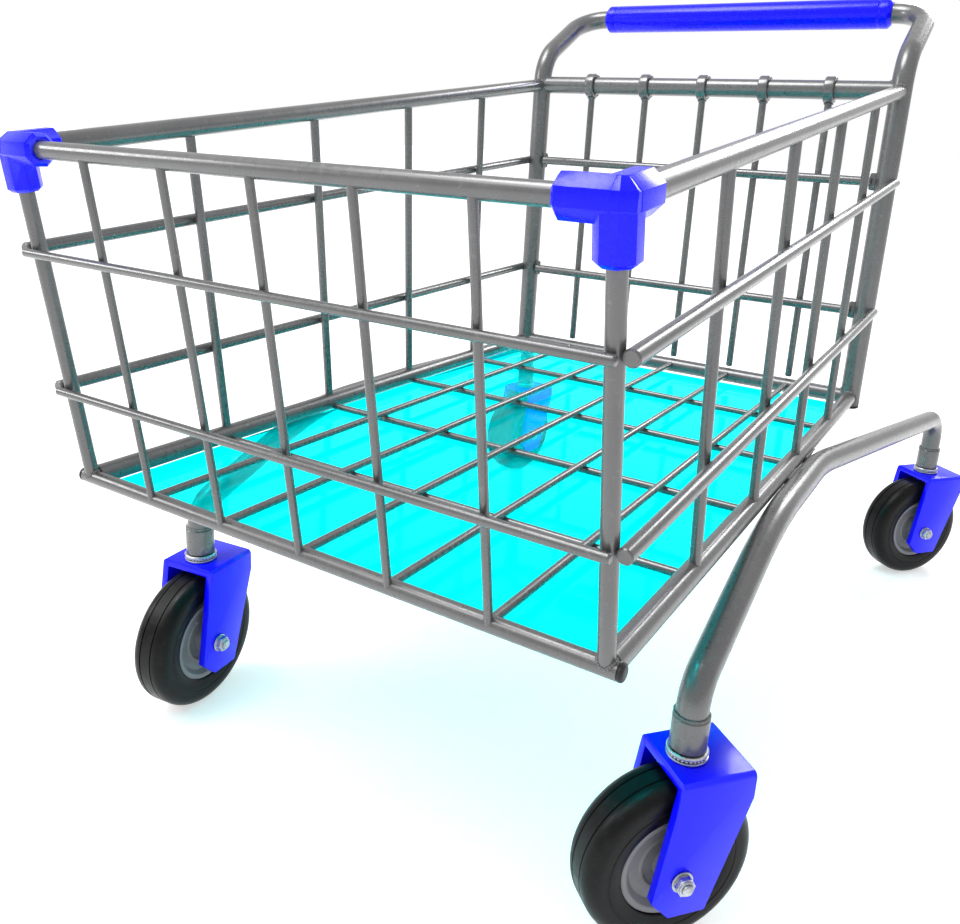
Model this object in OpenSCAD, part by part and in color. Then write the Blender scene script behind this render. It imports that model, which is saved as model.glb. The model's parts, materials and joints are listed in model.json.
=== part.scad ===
// Wire shopping cart: a leaning wire basket with a hinged rear gate, a push handle,
// two bent tube legs and four swivel casters. Millimetres, +Z up, front towards -Y.
// The origin lies on the ground under the middle of the whole cart.

/* [Basket] */
// Width between the axes of the two side rails
basket_w = 550; // [450:10:660]
// Length of the rim, from the front rail to the rear posts
rim_length = 918; // [760:2:1100]
// How much shorter the floor is than the rim, as the front panel leans
front_lean = 50; // [20:1:80]
// Height of the floor rails' axes above the ground
floor_h = 326; // [316:1:400]
// Height of the basket at its front, axis to axis
front_h = 311; // [250:1:380]
// Height of the basket at its rear, axis to axis
rear_h = 430; // [350:1:520]
// Number of wires across the front, the floor and the gate
long_wires = 5; // [3:1:7]
// Number of wires along each side
side_wires = 4; // [2:1:6]
// Height share of the upper mid rods, down from the rim
upper_mid = 0.28; // [0.2:0.01:0.4]
// Height share of the lower mid rods, down from the rim
lower_mid = 0.7; // [0.6:0.01:0.8]

/* [Rails, rods and wires] */
// Diameter of the front rim rail
front_rim_d = 15; // [14:1:18]
// Diameter of the side rim rails
side_rim_d = 19; // [17:1:20]
// Diameter of the rear rim rail, which is the gate's hinge
rear_rim_d = 26; // [22:1:28]
// Diameter of the front corner posts
post_d = 13; // [12:1:16]
// Diameter of the front floor rail
front_floor_d = 14; // [14:1:20]
// Diameter of the side floor rails
side_floor_d = 20; // [18:1:24]
// Diameter of the rear floor rail
rear_floor_d = 22; // [18:1:24]
// Diameter of the front mid rods
front_mid_d = 8; // [6:0.5:10]
// Diameter of the side mid rods
side_mid_d = 12; // [8:0.5:13]
// Diameter of the gate's mid rods
gate_mid_d = 13; // [8:0.5:14]
// Diameter of the front wires
front_wire_d = 7; // [5:0.5:9]
// Diameter of the side wires
side_wire_d = 10; // [6:0.5:11]
// Diameter of the gate wires
gate_wire_d = 10; // [6:0.5:11]
// Diameter of the floor wires
floor_wire_d = 8; // [6:0.5:8]
// Thickness of the floor panel
panel_t = 3; // [2:0.5:5]

/* [Corner fittings] */
// Outer diameter of the fittings' sleeves
fitting_d = 27; // [26:1:32]
// Length of each sleeve from the corner point
fitting_length = 36; // [32:1:46]

/* [Handle] */
// Diameter of the handle tube and the rear posts
handle_d = 28; // [24:1:34]
// Rise of the handle bar above the rear rim
handle_rise = 117; // [90:1:180]
// Distance of the handle bar behind the rear posts
handle_back = 136; // [100:1:180]
// Radius of the bends between the arms and the bar
handle_bend = 45; // [36:1:60]
// Outer diameter of the grip sleeve
grip_d = 42; // [36:1:46]

/* [Legs] */
// Diameter of the leg tubes
leg_d = 28; // [24:1:30]
// Drop of the leg's run below the axis of the floor rail
leg_drop = 10; // [4:1:16]
// Distance of the front casters' swivel axes behind the front of the floor
front_caster_in = 147; // [120:1:180]
// Distance of the rear casters' swivel axes behind the rear posts
rear_caster_out = 205; // [160:1:240]
// Half the track of the rear casters
rear_track = 380; // [340:1:400]

/* [Casters] */
// Diameter of the wheels over the tyres
wheel_d = 160; // [140:1:192]
// Width of the tyres
tyre_w = 46; // [28:1:56]
// Diameter of the hubs under the tyres
hub_d = 96; // [80:1:110]
// Diameter of the axle bolts
axle_d = 10; // [8:1:12]
// Diameter of the swivel studs
stud_d = 16; // [12:1:18]
// Distance of the wheel's axis from the swivel axis
trail = 14; // [8:1:30]
// Thickness of the fork's cheeks and crown
fork_t = 8; // [6:0.5:10]
// Degrees that the front left caster is turned, clockwise from above
turn_front_left = -7; // [-45:1:45]
// Degrees that the front right caster is turned
turn_front_right = 40; // [-45:1:45]
// Degrees that the rear left caster is turned
turn_rear_left = 10; // [-45:1:45]
// Degrees that the rear right caster is turned
turn_rear_right = 40; // [-45:1:45]

/* [Fits] */
// Gap at each welded or pressed seat
seat_gap = 0.2; // [0.1:0.05:0.4]
// Radial running clearance of the pins and the gate's loops
running = 0.05; // [0.03:0.01:0.1]

/* [Hidden] */
$fn = 64;

steel = [0.42, 0.42, 0.43];
blue = [0.05, 0.05, 0.95];
cyan = [0.1, 0.9, 0.95, 0.6];
rubber = [0.05, 0.05, 0.05];
grey = [0.5, 0.5, 0.5];

// Places along the cart
half_w = basket_w / 2;
wheel_reach = wheel_d / 2 - trail;
rear_y = (rim_length + fitting_d / 2 - rear_caster_out - wheel_reach) / 2;
rim_y = rear_y - rim_length;
floor_y = rim_y + front_lean;
rim_front_z = floor_h + front_h;
rim_rear_z = floor_h + rear_h;
handle_y = rear_y + handle_back;
handle_z = rim_rear_z + handle_rise;

// Stack of a caster, from the tyre's crown up to the leg
crown_gap = 6;
stud_head_h = 2.5;
race_h = 8;
socket_h = 32;
crown_z = wheel_d + crown_gap;
race_z = crown_z + fork_t + seat_gap;
socket_z = race_z + race_h + seat_gap;
leg_z0 = socket_z + socket_h + seat_gap;

// Leg route
leg_z = floor_h - leg_drop;
leg_x = half_w + sqrt(pow((side_floor_d + leg_d) / 2 + seat_gap, 2) - pow(leg_drop, 2));
front_caster_y = floor_y + front_caster_in;
rear_caster_y = rear_y + rear_caster_out;
leg_rise = 24;
leg_run = 200;
leg_bends = [45, 350, 400, 42];
flare_y = (front_caster_y + rear_caster_y) / 2 - 50;
rear_knee_z = leg_z0 + 52;

// ---- Small helpers ----

function unit(v) = v / norm(v);

function mirror_x(p, side) = [side * p[0], p[1], p[2]];

// Point on a panel's edge, a share of the way down from the rim to the floor
function down(top, bottom, share) = top + share * (bottom - top);

function rim_corner(side) = [side * half_w, rim_y, rim_front_z];
function floor_corner(side) = [side * half_w, floor_y, floor_h];
function rear_rim(side) = [side * half_w, rear_y, rim_rear_z];
function rear_floor(side) = [side * half_w, rear_y, floor_h];

// Points of an arc that rounds the corner b between a and c. Its radius is r, or less
// where the straight runs beside the corner are too short for r.
function corner_arc(a, b, c, r, steps) =
    let (u = unit(a - b), w = unit(c - b), half = acos(u * w) / 2,
        run = 0.95 * min(norm(a - b), norm(c - b)),
        fitted = min(r, run * tan(half)),
        centre = b + unit(u + w) * fitted / sin(half),
        e0 = b + u * fitted / tan(half) - centre,
        e1 = b + w * fitted / tan(half) - centre,
        turn = 180 - 2 * half)
    [for (i = [0 : steps]) let (t = turn * i / steps)
        centre + (e0 * sin(turn - t) + e1 * sin(t)) / sin(turn)];

// A route with its corners rounded, one radius and step count per corner
function rounded(route, radii, steps) = concat([route[0]],
    [for (i = [1 : len(route) - 2])
        each corner_arc(route[i - 1], route[i], route[i + 1], radii[i - 1], steps[i - 1])],
    [route[len(route) - 1]]);

function heading(p, i) = let (last = len(p) - 1)
    unit((i < last ? unit(p[i + 1] - p[i]) : [0, 0, 0])
        + (i > 0 ? unit(p[i] - p[i - 1]) : [0, 0, 0]));

// Side vectors carried along the route without twisting
function carried(p, start, i = 0) = let (t = heading(p, i), v = unit(start - (start * t) * t))
    i == len(p) - 1 ? [v] : concat([v], carried(p, v, i + 1));

// A round tube of diameter d along a route of points
module tube_along(p, d, start, sides = 24) {
    v = carried(p, start);
    rings = len(p);
    points = [for (i = [0 : rings - 1]) let (t = heading(p, i), w = cross(t, v[i]))
        for (k = [0 : sides - 1]) let (a = 360 * k / sides)
            p[i] + d / 2 * (v[i] * cos(a) + w * sin(a))];
    walls = [for (i = [0 : rings - 2], k = [0 : sides - 1])
        let (a = i * sides + k, b = i * sides + (k + 1) % sides)
        each [[a, a + sides, b], [b, a + sides, b + sides]]];
    foot = [for (k = [0 : sides - 1]) k];
    head = [for (k = [sides - 1 : -1 : 0]) (rings - 1) * sides + k];
    polyhedron(points, concat(walls, [foot, head]), convexity = 8);
}

// A round bar of diameter d from point a to point b
module bar(a, b, d) {
    v = b - a;
    translate(a)
        rotate([0, acos(v[2] / norm(v)), atan2(v[1], v[0])])
            cylinder(d = d, h = norm(v));
}

// A bar that butts against two round rails, each given as [point, point, diameter]
module coped_bar(a, b, d, rail_a, rail_b) {
    difference() {
        bar(a, b, d);
        bar(rail_a[0], rail_a[1], rail_a[2] + 2 * seat_gap);
        bar(rail_b[0], rail_b[1], rail_b[2] + 2 * seat_gap);
    }
}

// ---- Rails ----

// Distance from the corner point at which each tube ends inside its fitting
front_tube_start = 12;
side_tube_start = 13;
post_start = 14;

function along(a, b, distance) = a + unit(b - a) * distance;

module front_rim_rail() {
    color(steel)
        bar(along(rim_corner(-1), rim_corner(1), front_tube_start),
            along(rim_corner(1), rim_corner(-1), front_tube_start), front_rim_d);
}

module side_rim_rail(side) {
    color(steel) difference() {
        bar(along(rim_corner(side), rear_rim(side), side_tube_start), rear_rim(side), side_rim_d);
        rear_post_space(side);
    }
}

// The room that a rear post takes, with its seat gap
module rear_post_space(side) {
    bar(rear_floor(side) - [0, 0, side_floor_d], rear_rim(side) + [0, 0, side_rim_d],
        handle_d + 2 * seat_gap);
}

// A rail across the rear, between the two rear posts
module rear_rail(z, d, beside_d) {
    reach = half_w - beside_d / 2 - 1.5 * seat_gap;
    color(steel) difference() {
        bar([-reach, rear_y, z], [reach, rear_y, z], d);
        for (side = [-1, 1]) rear_post_space(side);
    }
}

module front_post(side) {
    color(steel) difference() {
        bar(floor_corner(side), along(rim_corner(side), floor_corner(side), post_start), post_d);
        bar(floor_corner(-1.1), floor_corner(1.1), front_floor_d + 2 * seat_gap);
    }
}

module front_floor_rail() {
    overhang = side_floor_d / 2;
    color(steel)
        bar(floor_corner(-1) - [overhang, 0, 0], floor_corner(1) + [overhang, 0, 0], front_floor_d);
}

module side_floor_rail(side) {
    start = floor_corner(side) + [0, front_floor_d / 2 + seat_gap, 0];
    color(steel) difference() {
        bar(start, rear_floor(side), side_floor_d);
        rear_post_space(side);
    }
}

// ---- Mid rods and wires ----

// Outward normal of the leaning front panel
front_normal = unit([0, -front_h, -front_lean]);

// Room for the rod's centre outside a post
function lap(post, rod) = post / 2 + rod / 2 + seat_gap;

module front_mid_rods() {
    overhang = post_d / 2 - 1;
    color(steel) for (share = [upper_mid, lower_mid]) {
        at = down(rim_corner(1), floor_corner(1), share)
            + front_normal * lap(post_d, front_mid_d) + [overhang, 0, 0];
        bar(mirror_x(at, -1), at, front_mid_d);
    }
}

module side_mid_rods(side) {
    out = [side * lap(post_d, side_mid_d), 0, 0];
    overhang = [0, post_d / 2, 0];
    color(steel) for (share = [upper_mid, lower_mid]) difference() {
        bar(down(rim_corner(side), floor_corner(side), share) + out - overhang,
            down(rear_rim(side), rear_floor(side), share) + out, side_mid_d);
        rear_post_space(side);
    }
}

function wire_x(i) = basket_w * ((i + 1) / (long_wires + 1) - 0.5);

module front_wires() {
    out = front_normal * (post_d - front_wire_d) / 2;
    rim = [rim_corner(-1), rim_corner(1), front_rim_d];
    foot = [floor_corner(-1), floor_corner(1), front_floor_d];
    color(steel) for (i = [0 : long_wires - 1]) {
        x = [wire_x(i), 0, 0];
        coped_bar([0, rim_y, rim_front_z] + x + out, [0, floor_y, floor_h] + x + out,
            front_wire_d, rim, foot);
    }
}

function side_share(i) = (i + 1) / (side_wires + 1);

module side_wire_set(side) {
    out = [side * (post_d - side_wire_d) / 2, 0, 0];
    rim = [rim_corner(side), rear_rim(side), side_rim_d];
    foot = [floor_corner(side), rear_floor(side), side_floor_d];
    color(steel) for (i = [0 : side_wires - 1]) {
        top = down(rim_corner(side), rear_rim(side), side_share(i));
        bottom = down(floor_corner(side), rear_floor(side), side_share(i));
        coped_bar(top + out, bottom + out, side_wire_d, rim, foot);
    }
}

// The two layers of floor wires lie on each other, one above the rails' axes, one below
long_wire_z = floor_h + front_floor_d / 2 - floor_wire_d / 2 - 1.5 * seat_gap;
cross_wire_z = long_wire_z - floor_wire_d - seat_gap;

module floor_long_wires() {
    front = [floor_corner(-1), floor_corner(1), front_floor_d];
    rear = [rear_floor(-1), rear_floor(1), rear_floor_d];
    color(steel) for (i = [0 : long_wires - 1])
        coped_bar([wire_x(i), floor_y, long_wire_z], [wire_x(i), rear_y, long_wire_z],
            floor_wire_d, front, rear);
}

module floor_cross_wires() {
    left = [floor_corner(-1), rear_floor(-1), side_floor_d];
    right = [floor_corner(1), rear_floor(1), side_floor_d];
    color(steel) for (i = [0 : side_wires - 1]) {
        y = down(floor_corner(1), rear_floor(1), side_share(i))[1];
        coped_bar([-half_w, y, cross_wire_z], [half_w, y, cross_wire_z],
            floor_wire_d, left, right);
    }
}

module floor_panel() {
    top = cross_wire_z - floor_wire_d / 2 - seat_gap;
    below = floor_h - top;
    side_in = sqrt(max(pow(side_floor_d / 2, 2) - pow(below, 2), 0)) + 1.5;
    front_in = front_floor_d / 2 + 1;
    rear_in = handle_d / 2 + 1;
    width = basket_w - 2 * side_in;
    color(cyan) translate([-width / 2, floor_y + front_in, top - panel_t])
        cube([width, rear_y - floor_y - front_in - rear_in, panel_t]);
}

// ---- Corner fittings ----

// Half the angle between two flats of an eight-sided sleeve
half_flat = 22.5;

// An eight-sided sleeve, d across its flats, with a chamfered mouth, from a to its end at b
module sleeve(a, b, d) {
    chamfer = min(4, (fitting_d - side_rim_d) / 2 - 1.2);
    mouth = d - 2 * chamfer;
    v = b - a;
    translate(a) rotate([0, acos(v[2] / norm(v)), atan2(v[1], v[0])]) rotate([0, 0, half_flat]) {
        cylinder(d = d / cos(half_flat), h = norm(v) - chamfer, $fn = 8);
        translate([0, 0, norm(v) - chamfer])
            cylinder(d1 = d / cos(half_flat), d2 = mouth / cos(half_flat), h = chamfer, $fn = 8);
    }
}

// The block that the sleeves spring from: a cube with all its edges cut to eight sides
module corner_block() {
    flat = fitting_d / 2 - sleeve_step;
    edge = flat * tan(half_flat);
    rotate([0, 0, half_flat]) {
        translate([0, 0, -edge]) cylinder(r = flat / cos(half_flat), h = 2 * edge, $fn = 8);
        for (s = [0, 1]) mirror([0, 0, s]) translate([0, 0, edge])
            cylinder(r1 = flat / cos(half_flat), r2 = edge / cos(half_flat), h = flat - edge,
                $fn = 8);
    }
}

// Difference between one sleeve and the next, so that no two flats lie in one plane
sleeve_step = 0.3;

module corner_fitting(side) {
    at = rim_corner(side);
    across = rim_corner(-side);
    back = rear_rim(side);
    foot = floor_corner(side);
    far = fitting_length + 1;
    color(blue) difference() {
        union() {
            sleeve(at, along(at, across, fitting_length), fitting_d);
            sleeve(at, along(at, back, fitting_length), fitting_d);
            sleeve(at, along(at, foot, fitting_length), fitting_d - 2 * sleeve_step);
            translate(at) corner_block();
        }
        bar(along(at, across, front_tube_start - seat_gap), along(at, across, far),
            front_rim_d + 2 * seat_gap);
        bar(along(at, back, side_tube_start - seat_gap), along(at, back, far),
            side_rim_d + 2 * seat_gap);
        bar(along(at, foot, post_start - seat_gap), along(at, foot, far),
            post_d + 2 * seat_gap);
    }
}

// ---- Handle ----

post_foot_z = floor_h - side_floor_d / 2 - 2;

function handle_side(side) = [
    [side * half_w, rear_y, post_foot_z],
    [side * half_w, rear_y, rim_rear_z + 40],
    [side * half_w, handle_y, handle_z]];

function reversed(list) = [for (i = [len(list) - 1 : -1 : 0]) list[i]];

module handle_frame() {
    arm_bend = 60;
    route = concat(handle_side(1), reversed(handle_side(-1)));
    radii = [arm_bend, handle_bend, handle_bend, arm_bend];
    color(steel) tube_along(rounded(route, radii, [7, 12, 12, 7]), handle_d, [1, 0, 0]);
}

module grip() {
    length = basket_w - 2 * handle_bend - 6;
    bore = handle_d / 2 + seat_gap;
    r = grip_d / 2;
    chamfer = min(5, 0.8 * (r - bore));
    color(blue) translate([-length / 2, handle_y, handle_z]) rotate([0, 90, 0])
        rotate_extrude() polygon([[bore, 0], [r - chamfer, 0], [r, chamfer],
            [r, length - chamfer], [r - chamfer, length], [bore, length]]);
}

// Caps under the rear posts and on the ends of the front floor rail
module end_plugs() {
    cap = 4;
    rail_end = half_w + side_floor_d / 2 + seat_gap;
    color(rubber) for (side = [-1, 1]) {
        translate([side * half_w, rear_y, post_foot_z - seat_gap - cap])
            cylinder(d = handle_d, h = cap);
        translate([side * rail_end, floor_y, floor_h]) rotate([0, side * 90, 0])
            cylinder(d = front_floor_d, h = cap);
    }
}

// ---- Gate ----

loop_wall = 5;
loop_w = 14;
gate_foot_z = floor_h + rear_floor_d / 2 + 4;

module gate_wires() {
    bore = rear_rim_d / 2 + running;
    color(steel) for (i = [0 : long_wires - 1]) translate([wire_x(i), rear_y, 0]) {
        difference() {
            union() {
                translate([-loop_w / 2, 0, rim_rear_z]) rotate([0, 90, 0])
                    cylinder(r = bore + loop_wall, h = loop_w);
                translate([0, 0, gate_foot_z])
                    cylinder(d = gate_wire_d, h = rim_rear_z - bore - 1 - gate_foot_z);
            }
            translate([-loop_w, 0, rim_rear_z]) rotate([0, 90, 0])
                cylinder(r = bore, h = 2 * loop_w);
        }
    }
}

gate_rod_y = rear_y - gate_wire_d / 2 - gate_mid_d / 2 - seat_gap;
gate_reach = half_w - handle_d / 2 - 4;

function gate_rod_z(share) = rim_rear_z - share * rear_h;

module gate_mid_rods() {
    color(steel) for (share = [upper_mid, lower_mid])
        bar([-gate_reach, gate_rod_y, gate_rod_z(share)],
            [gate_reach, gate_rod_y, gate_rod_z(share)], gate_mid_d);
}

// Tabs on the rear posts that the gate's mid rods rest against
module gate_stops() {
    tab_t = 3;
    tab_w = 14;
    tab_h = 24;
    color(steel) for (side = [-1, 1], share = [upper_mid, lower_mid]) difference() {
        translate([side * (half_w - handle_d / 2) - tab_w / 2,
            gate_rod_y + gate_mid_d / 2 + 1.5 * seat_gap, gate_rod_z(share) - tab_h / 2])
            cube([tab_w, tab_t, tab_h]);
        rear_post_space(side);
    }
}

// ---- Legs ----

function leg_route(side) = [
    [side * leg_x, front_caster_y, leg_z0],
    [side * leg_x, front_caster_y, leg_z0 + leg_rise],
    [side * leg_x, front_caster_y + leg_run, leg_z],
    [side * leg_x, flare_y, leg_z],
    [side * rear_track, rear_caster_y, rear_knee_z],
    [side * rear_track, rear_caster_y, leg_z0]];

module leg(side) {
    color(steel)
        tube_along(rounded(leg_route(side), leg_bends, [6, 8, 4, 9]), leg_d, [1, 0, 0]);
}

// Corners are numbered front left, front right, rear left, rear right
function caster_at(i) = [
    (i % 2 == 0 ? -1 : 1) * (i < 2 ? leg_x : rear_track),
    i < 2 ? front_caster_y : rear_caster_y, 0];
turns = [turn_front_left, turn_front_right, turn_rear_left, turn_rear_right];

// Turned sleeves under the leg tubes, bored for the studs
module leg_sockets() {
    depth = socket_h - 4;
    color(steel) for (i = [0 : 3]) translate(caster_at(i)) translate([0, 0, socket_z])
        difference() {
            cylinder(d = leg_d + 4, h = socket_h);
            translate([0, 0, -1]) cylinder(r = stud_d / 2 + running, h = depth + 1);
        }
}

// ---- Casters: the wheel's axle lies along local X, trail in front of the swivel axis ----

module on_caster(i) {
    translate(caster_at(i)) rotate([0, 0, -turns[i]]) children();
}

module on_axle(i) {
    on_caster(i) translate([0, -trail, wheel_d / 2]) rotate([0, 90, 0]) children();
}

fork_side_gap = 5;
fork_in = tyre_w / 2 + fork_side_gap;
fork_out = fork_in + fork_t;
washer_t = 2;
bolt_head_h = 6;
nut_h = 8;

module stud(i) {
    head_z = crown_z - seat_gap - stud_head_h;
    top_z = socket_z + socket_h - 6;
    color(grey) on_caster(i) {
        translate([0, 0, head_z]) cylinder(d = stud_d + 10, h = stud_head_h);
        translate([0, 0, head_z]) cylinder(d = stud_d, h = top_z - head_z);
    }
}

module race(i) {
    inner = stud_d / 2 + running;
    outer = 18;
    waist = 15.5;
    color(grey) on_caster(i) translate([0, 0, race_z])
        rotate_extrude() polygon([[inner, 0], [outer, 0], [outer, 3], [waist, 3],
            [waist, 5], [outer, 5], [outer, race_h], [inner, race_h]]);
}

module fork(i) {
    front = 22;
    back = 46;
    drop = 24;
    reach = 26;
    foot = 36;
    axle_z = wheel_d / 2;
    top = crown_z + fork_t;
    cheek = [[-front, top], [back, top], [back, top - drop], [-trail + reach, axle_z - foot],
        [-trail - reach / 3, axle_z - foot], [-trail - reach, axle_z - foot / 2]];
    color(blue) on_caster(i) difference() {
        union() {
            translate([-fork_out, -front, crown_z]) cube([2 * fork_out, front + back, fork_t]);
            for (x = [-fork_out, fork_in]) translate([x, 0, 0])
                rotate([90, 0, 90]) linear_extrude(fork_t) polygon(cheek);
        }
        translate([0, 0, crown_z - 1]) cylinder(r = stud_d / 2 + running, h = fork_t + 2);
        translate([-2 * fork_out, -trail, axle_z]) rotate([0, 90, 0])
            cylinder(r = axle_d / 2 + running, h = 4 * fork_out);
    }
}

module axle(i) {
    end = fork_out + washer_t + nut_h + 2;
    color(grey) on_axle(i) {
        translate([0, 0, -fork_out - seat_gap - bolt_head_h])
            cylinder(d = axle_d * 1.8, h = bolt_head_h, $fn = 6);
        translate([0, 0, -fork_out - seat_gap - 1]) cylinder(d = axle_d, h = end + fork_out + 1);
    }
}

module nut(i) {
    color(grey) on_axle(i) translate([0, 0, fork_out + seat_gap]) difference() {
        union() {
            cylinder(d = axle_d * 2, h = washer_t);
            translate([0, 0, washer_t - 0.5]) cylinder(d = axle_d * 1.8, h = nut_h, $fn = 6);
        }
        translate([0, 0, -1]) cylinder(r = axle_d / 2 + running, h = nut_h + washer_t + 2);
    }
}

module hub(i) {
    bore = axle_d / 2 + running;
    boss = 15;
    boss_w = fork_in - 0.5;
    seat = hub_d / 2;
    rim_w = tyre_w / 2 - 3;
    web = min(14, rim_w - 4);
    lip = seat - 6;
    dish = seat - 10;
    color(grey) on_axle(i) rotate_extrude() polygon([
        [bore, -boss_w], [boss - 3, -boss_w], [boss, -web], [dish, -web],
        [lip, -rim_w], [seat, -rim_w], [seat, rim_w], [lip, rim_w],
        [dish, web], [boss, web], [boss - 3, boss_w], [bore, boss_w]]);
}

module tyre(i) {
    seat = hub_d / 2 + seat_gap;
    r = wheel_d / 2;
    half = tyre_w / 2;
    shoulder = min(14, 0.62 * half);
    color(rubber) on_axle(i) rotate_extrude() union() {
        translate([seat, -half]) square([r - shoulder - seat, tyre_w]);
        translate([seat, -half + shoulder]) square([r - seat, tyre_w - 2 * shoulder]);
        for (s = [-1, 1]) translate([r - shoulder, s * (half - shoulder)]) circle(shoulder);
    }
}

front_rim_rail();
side_rim_rail(-1);  // left_rim_rail
side_rim_rail(1);  // right_rim_rail
rear_rail(rim_rear_z, rear_rim_d, side_rim_d);  // rear_rim_rail
front_post(-1);  // left_front_post
front_post(1);  // right_front_post
corner_fitting(-1);  // left_corner_fitting
corner_fitting(1);  // right_corner_fitting
front_floor_rail();
side_floor_rail(-1);  // left_floor_rail
side_floor_rail(1);  // right_floor_rail
rear_rail(floor_h, rear_floor_d, side_floor_d);  // rear_floor_rail
front_mid_rods();
side_mid_rods(-1);  // left_mid_rods
side_mid_rods(1);  // right_mid_rods
front_wires();
side_wire_set(-1);  // left_wires
side_wire_set(1);  // right_wires
floor_long_wires();
floor_cross_wires();
floor_panel();
handle_frame();
grip();
end_plugs();
leg(-1);  // left_leg
leg(1);  // right_leg
leg_sockets();
gate_wires();
gate_mid_rods();
gate_stops();

corners = ["front_left", "front_right", "rear_left", "rear_right"];
for (i = [0 : 3]) {
    stud(i);
    race(i);
    fork(i);
    axle(i);
    nut(i);
    hub(i);
    tyre(i);
}
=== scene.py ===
"""The look of a wire shopping cart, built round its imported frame.

Lengths are metres in the frame's own axes: +Z up, the front of the cart towards -Y.
Places come from the boxes of the frame's nodes and from its joints.
"""
import json
import logging
import math
from dataclasses import dataclass
from enum import Enum
from typing import Iterable, Sequence

import bmesh
import bpy
from mathutils import Matrix, Vector


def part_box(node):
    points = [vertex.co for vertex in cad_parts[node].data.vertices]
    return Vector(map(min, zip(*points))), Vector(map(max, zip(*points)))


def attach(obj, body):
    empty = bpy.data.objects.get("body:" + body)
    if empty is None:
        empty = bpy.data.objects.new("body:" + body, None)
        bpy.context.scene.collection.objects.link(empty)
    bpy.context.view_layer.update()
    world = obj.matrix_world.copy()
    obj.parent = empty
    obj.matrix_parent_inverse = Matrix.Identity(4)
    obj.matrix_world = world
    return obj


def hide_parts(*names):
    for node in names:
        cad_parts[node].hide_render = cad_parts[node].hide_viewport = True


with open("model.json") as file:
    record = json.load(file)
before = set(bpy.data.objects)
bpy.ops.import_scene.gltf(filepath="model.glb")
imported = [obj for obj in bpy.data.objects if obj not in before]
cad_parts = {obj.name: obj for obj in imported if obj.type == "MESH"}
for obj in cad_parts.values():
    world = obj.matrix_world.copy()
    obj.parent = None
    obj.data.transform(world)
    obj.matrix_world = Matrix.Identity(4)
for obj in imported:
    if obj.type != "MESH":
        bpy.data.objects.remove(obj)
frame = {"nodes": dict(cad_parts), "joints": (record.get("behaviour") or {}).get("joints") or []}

logging.basicConfig(level=logging.INFO, format="%(name)s: %(message)s")
LOG = logging.getLogger("cart")

MM = 0.001
SIDES = {"left": -1, "right": 1}
CORNERS = ("front_left", "front_right", "rear_left", "rear_right")
ROOT = "frame"
GATE = "gate"
ACROSS = Vector((1, 0, 0))
UP = Vector((0, 0, 1))


# ---- Finishes ----


class Slot(Enum):
    """The record's material slots."""

    FRAME_STEEL = "frame_steel"
    WIRE_STEEL = "wire_steel"
    BLUE_PLASTIC = "blue_plastic"
    BLUE_PAINT = "blue_paint"
    PANEL = "panel_plastic"
    RUBBER = "tyre_rubber"
    HUB = "hub_plastic"
    ZINC = "zinc_steel"
    PLUG = "plug_plastic"


Colour = tuple[float, float, float]
Outline = Sequence[tuple[float, float]]
Socket = bpy.types.NodeSocket
Piece = bpy.types.Object
Shape = bmesh.types.BMesh


def new_node(tree: bpy.types.NodeTree, kind: str, inputs: dict, settings: dict) -> bpy.types.Node:
    """Add a node to a tree.

    Args:
        tree: A material's or a geometry's node tree.
        kind: The node's type name.
        inputs: Values or sockets for its inputs, by name or number.
        settings: Values for its own properties.

    Returns:
        The node.
    """
    node = tree.nodes.new(kind)
    for key, value in settings.items():
        setattr(node, key, value)
    for key, value in inputs.items():
        if isinstance(value, Socket):
            tree.links.new(value, node.inputs[key])
        else:
            node.inputs[key].default_value = value
    return node


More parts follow.
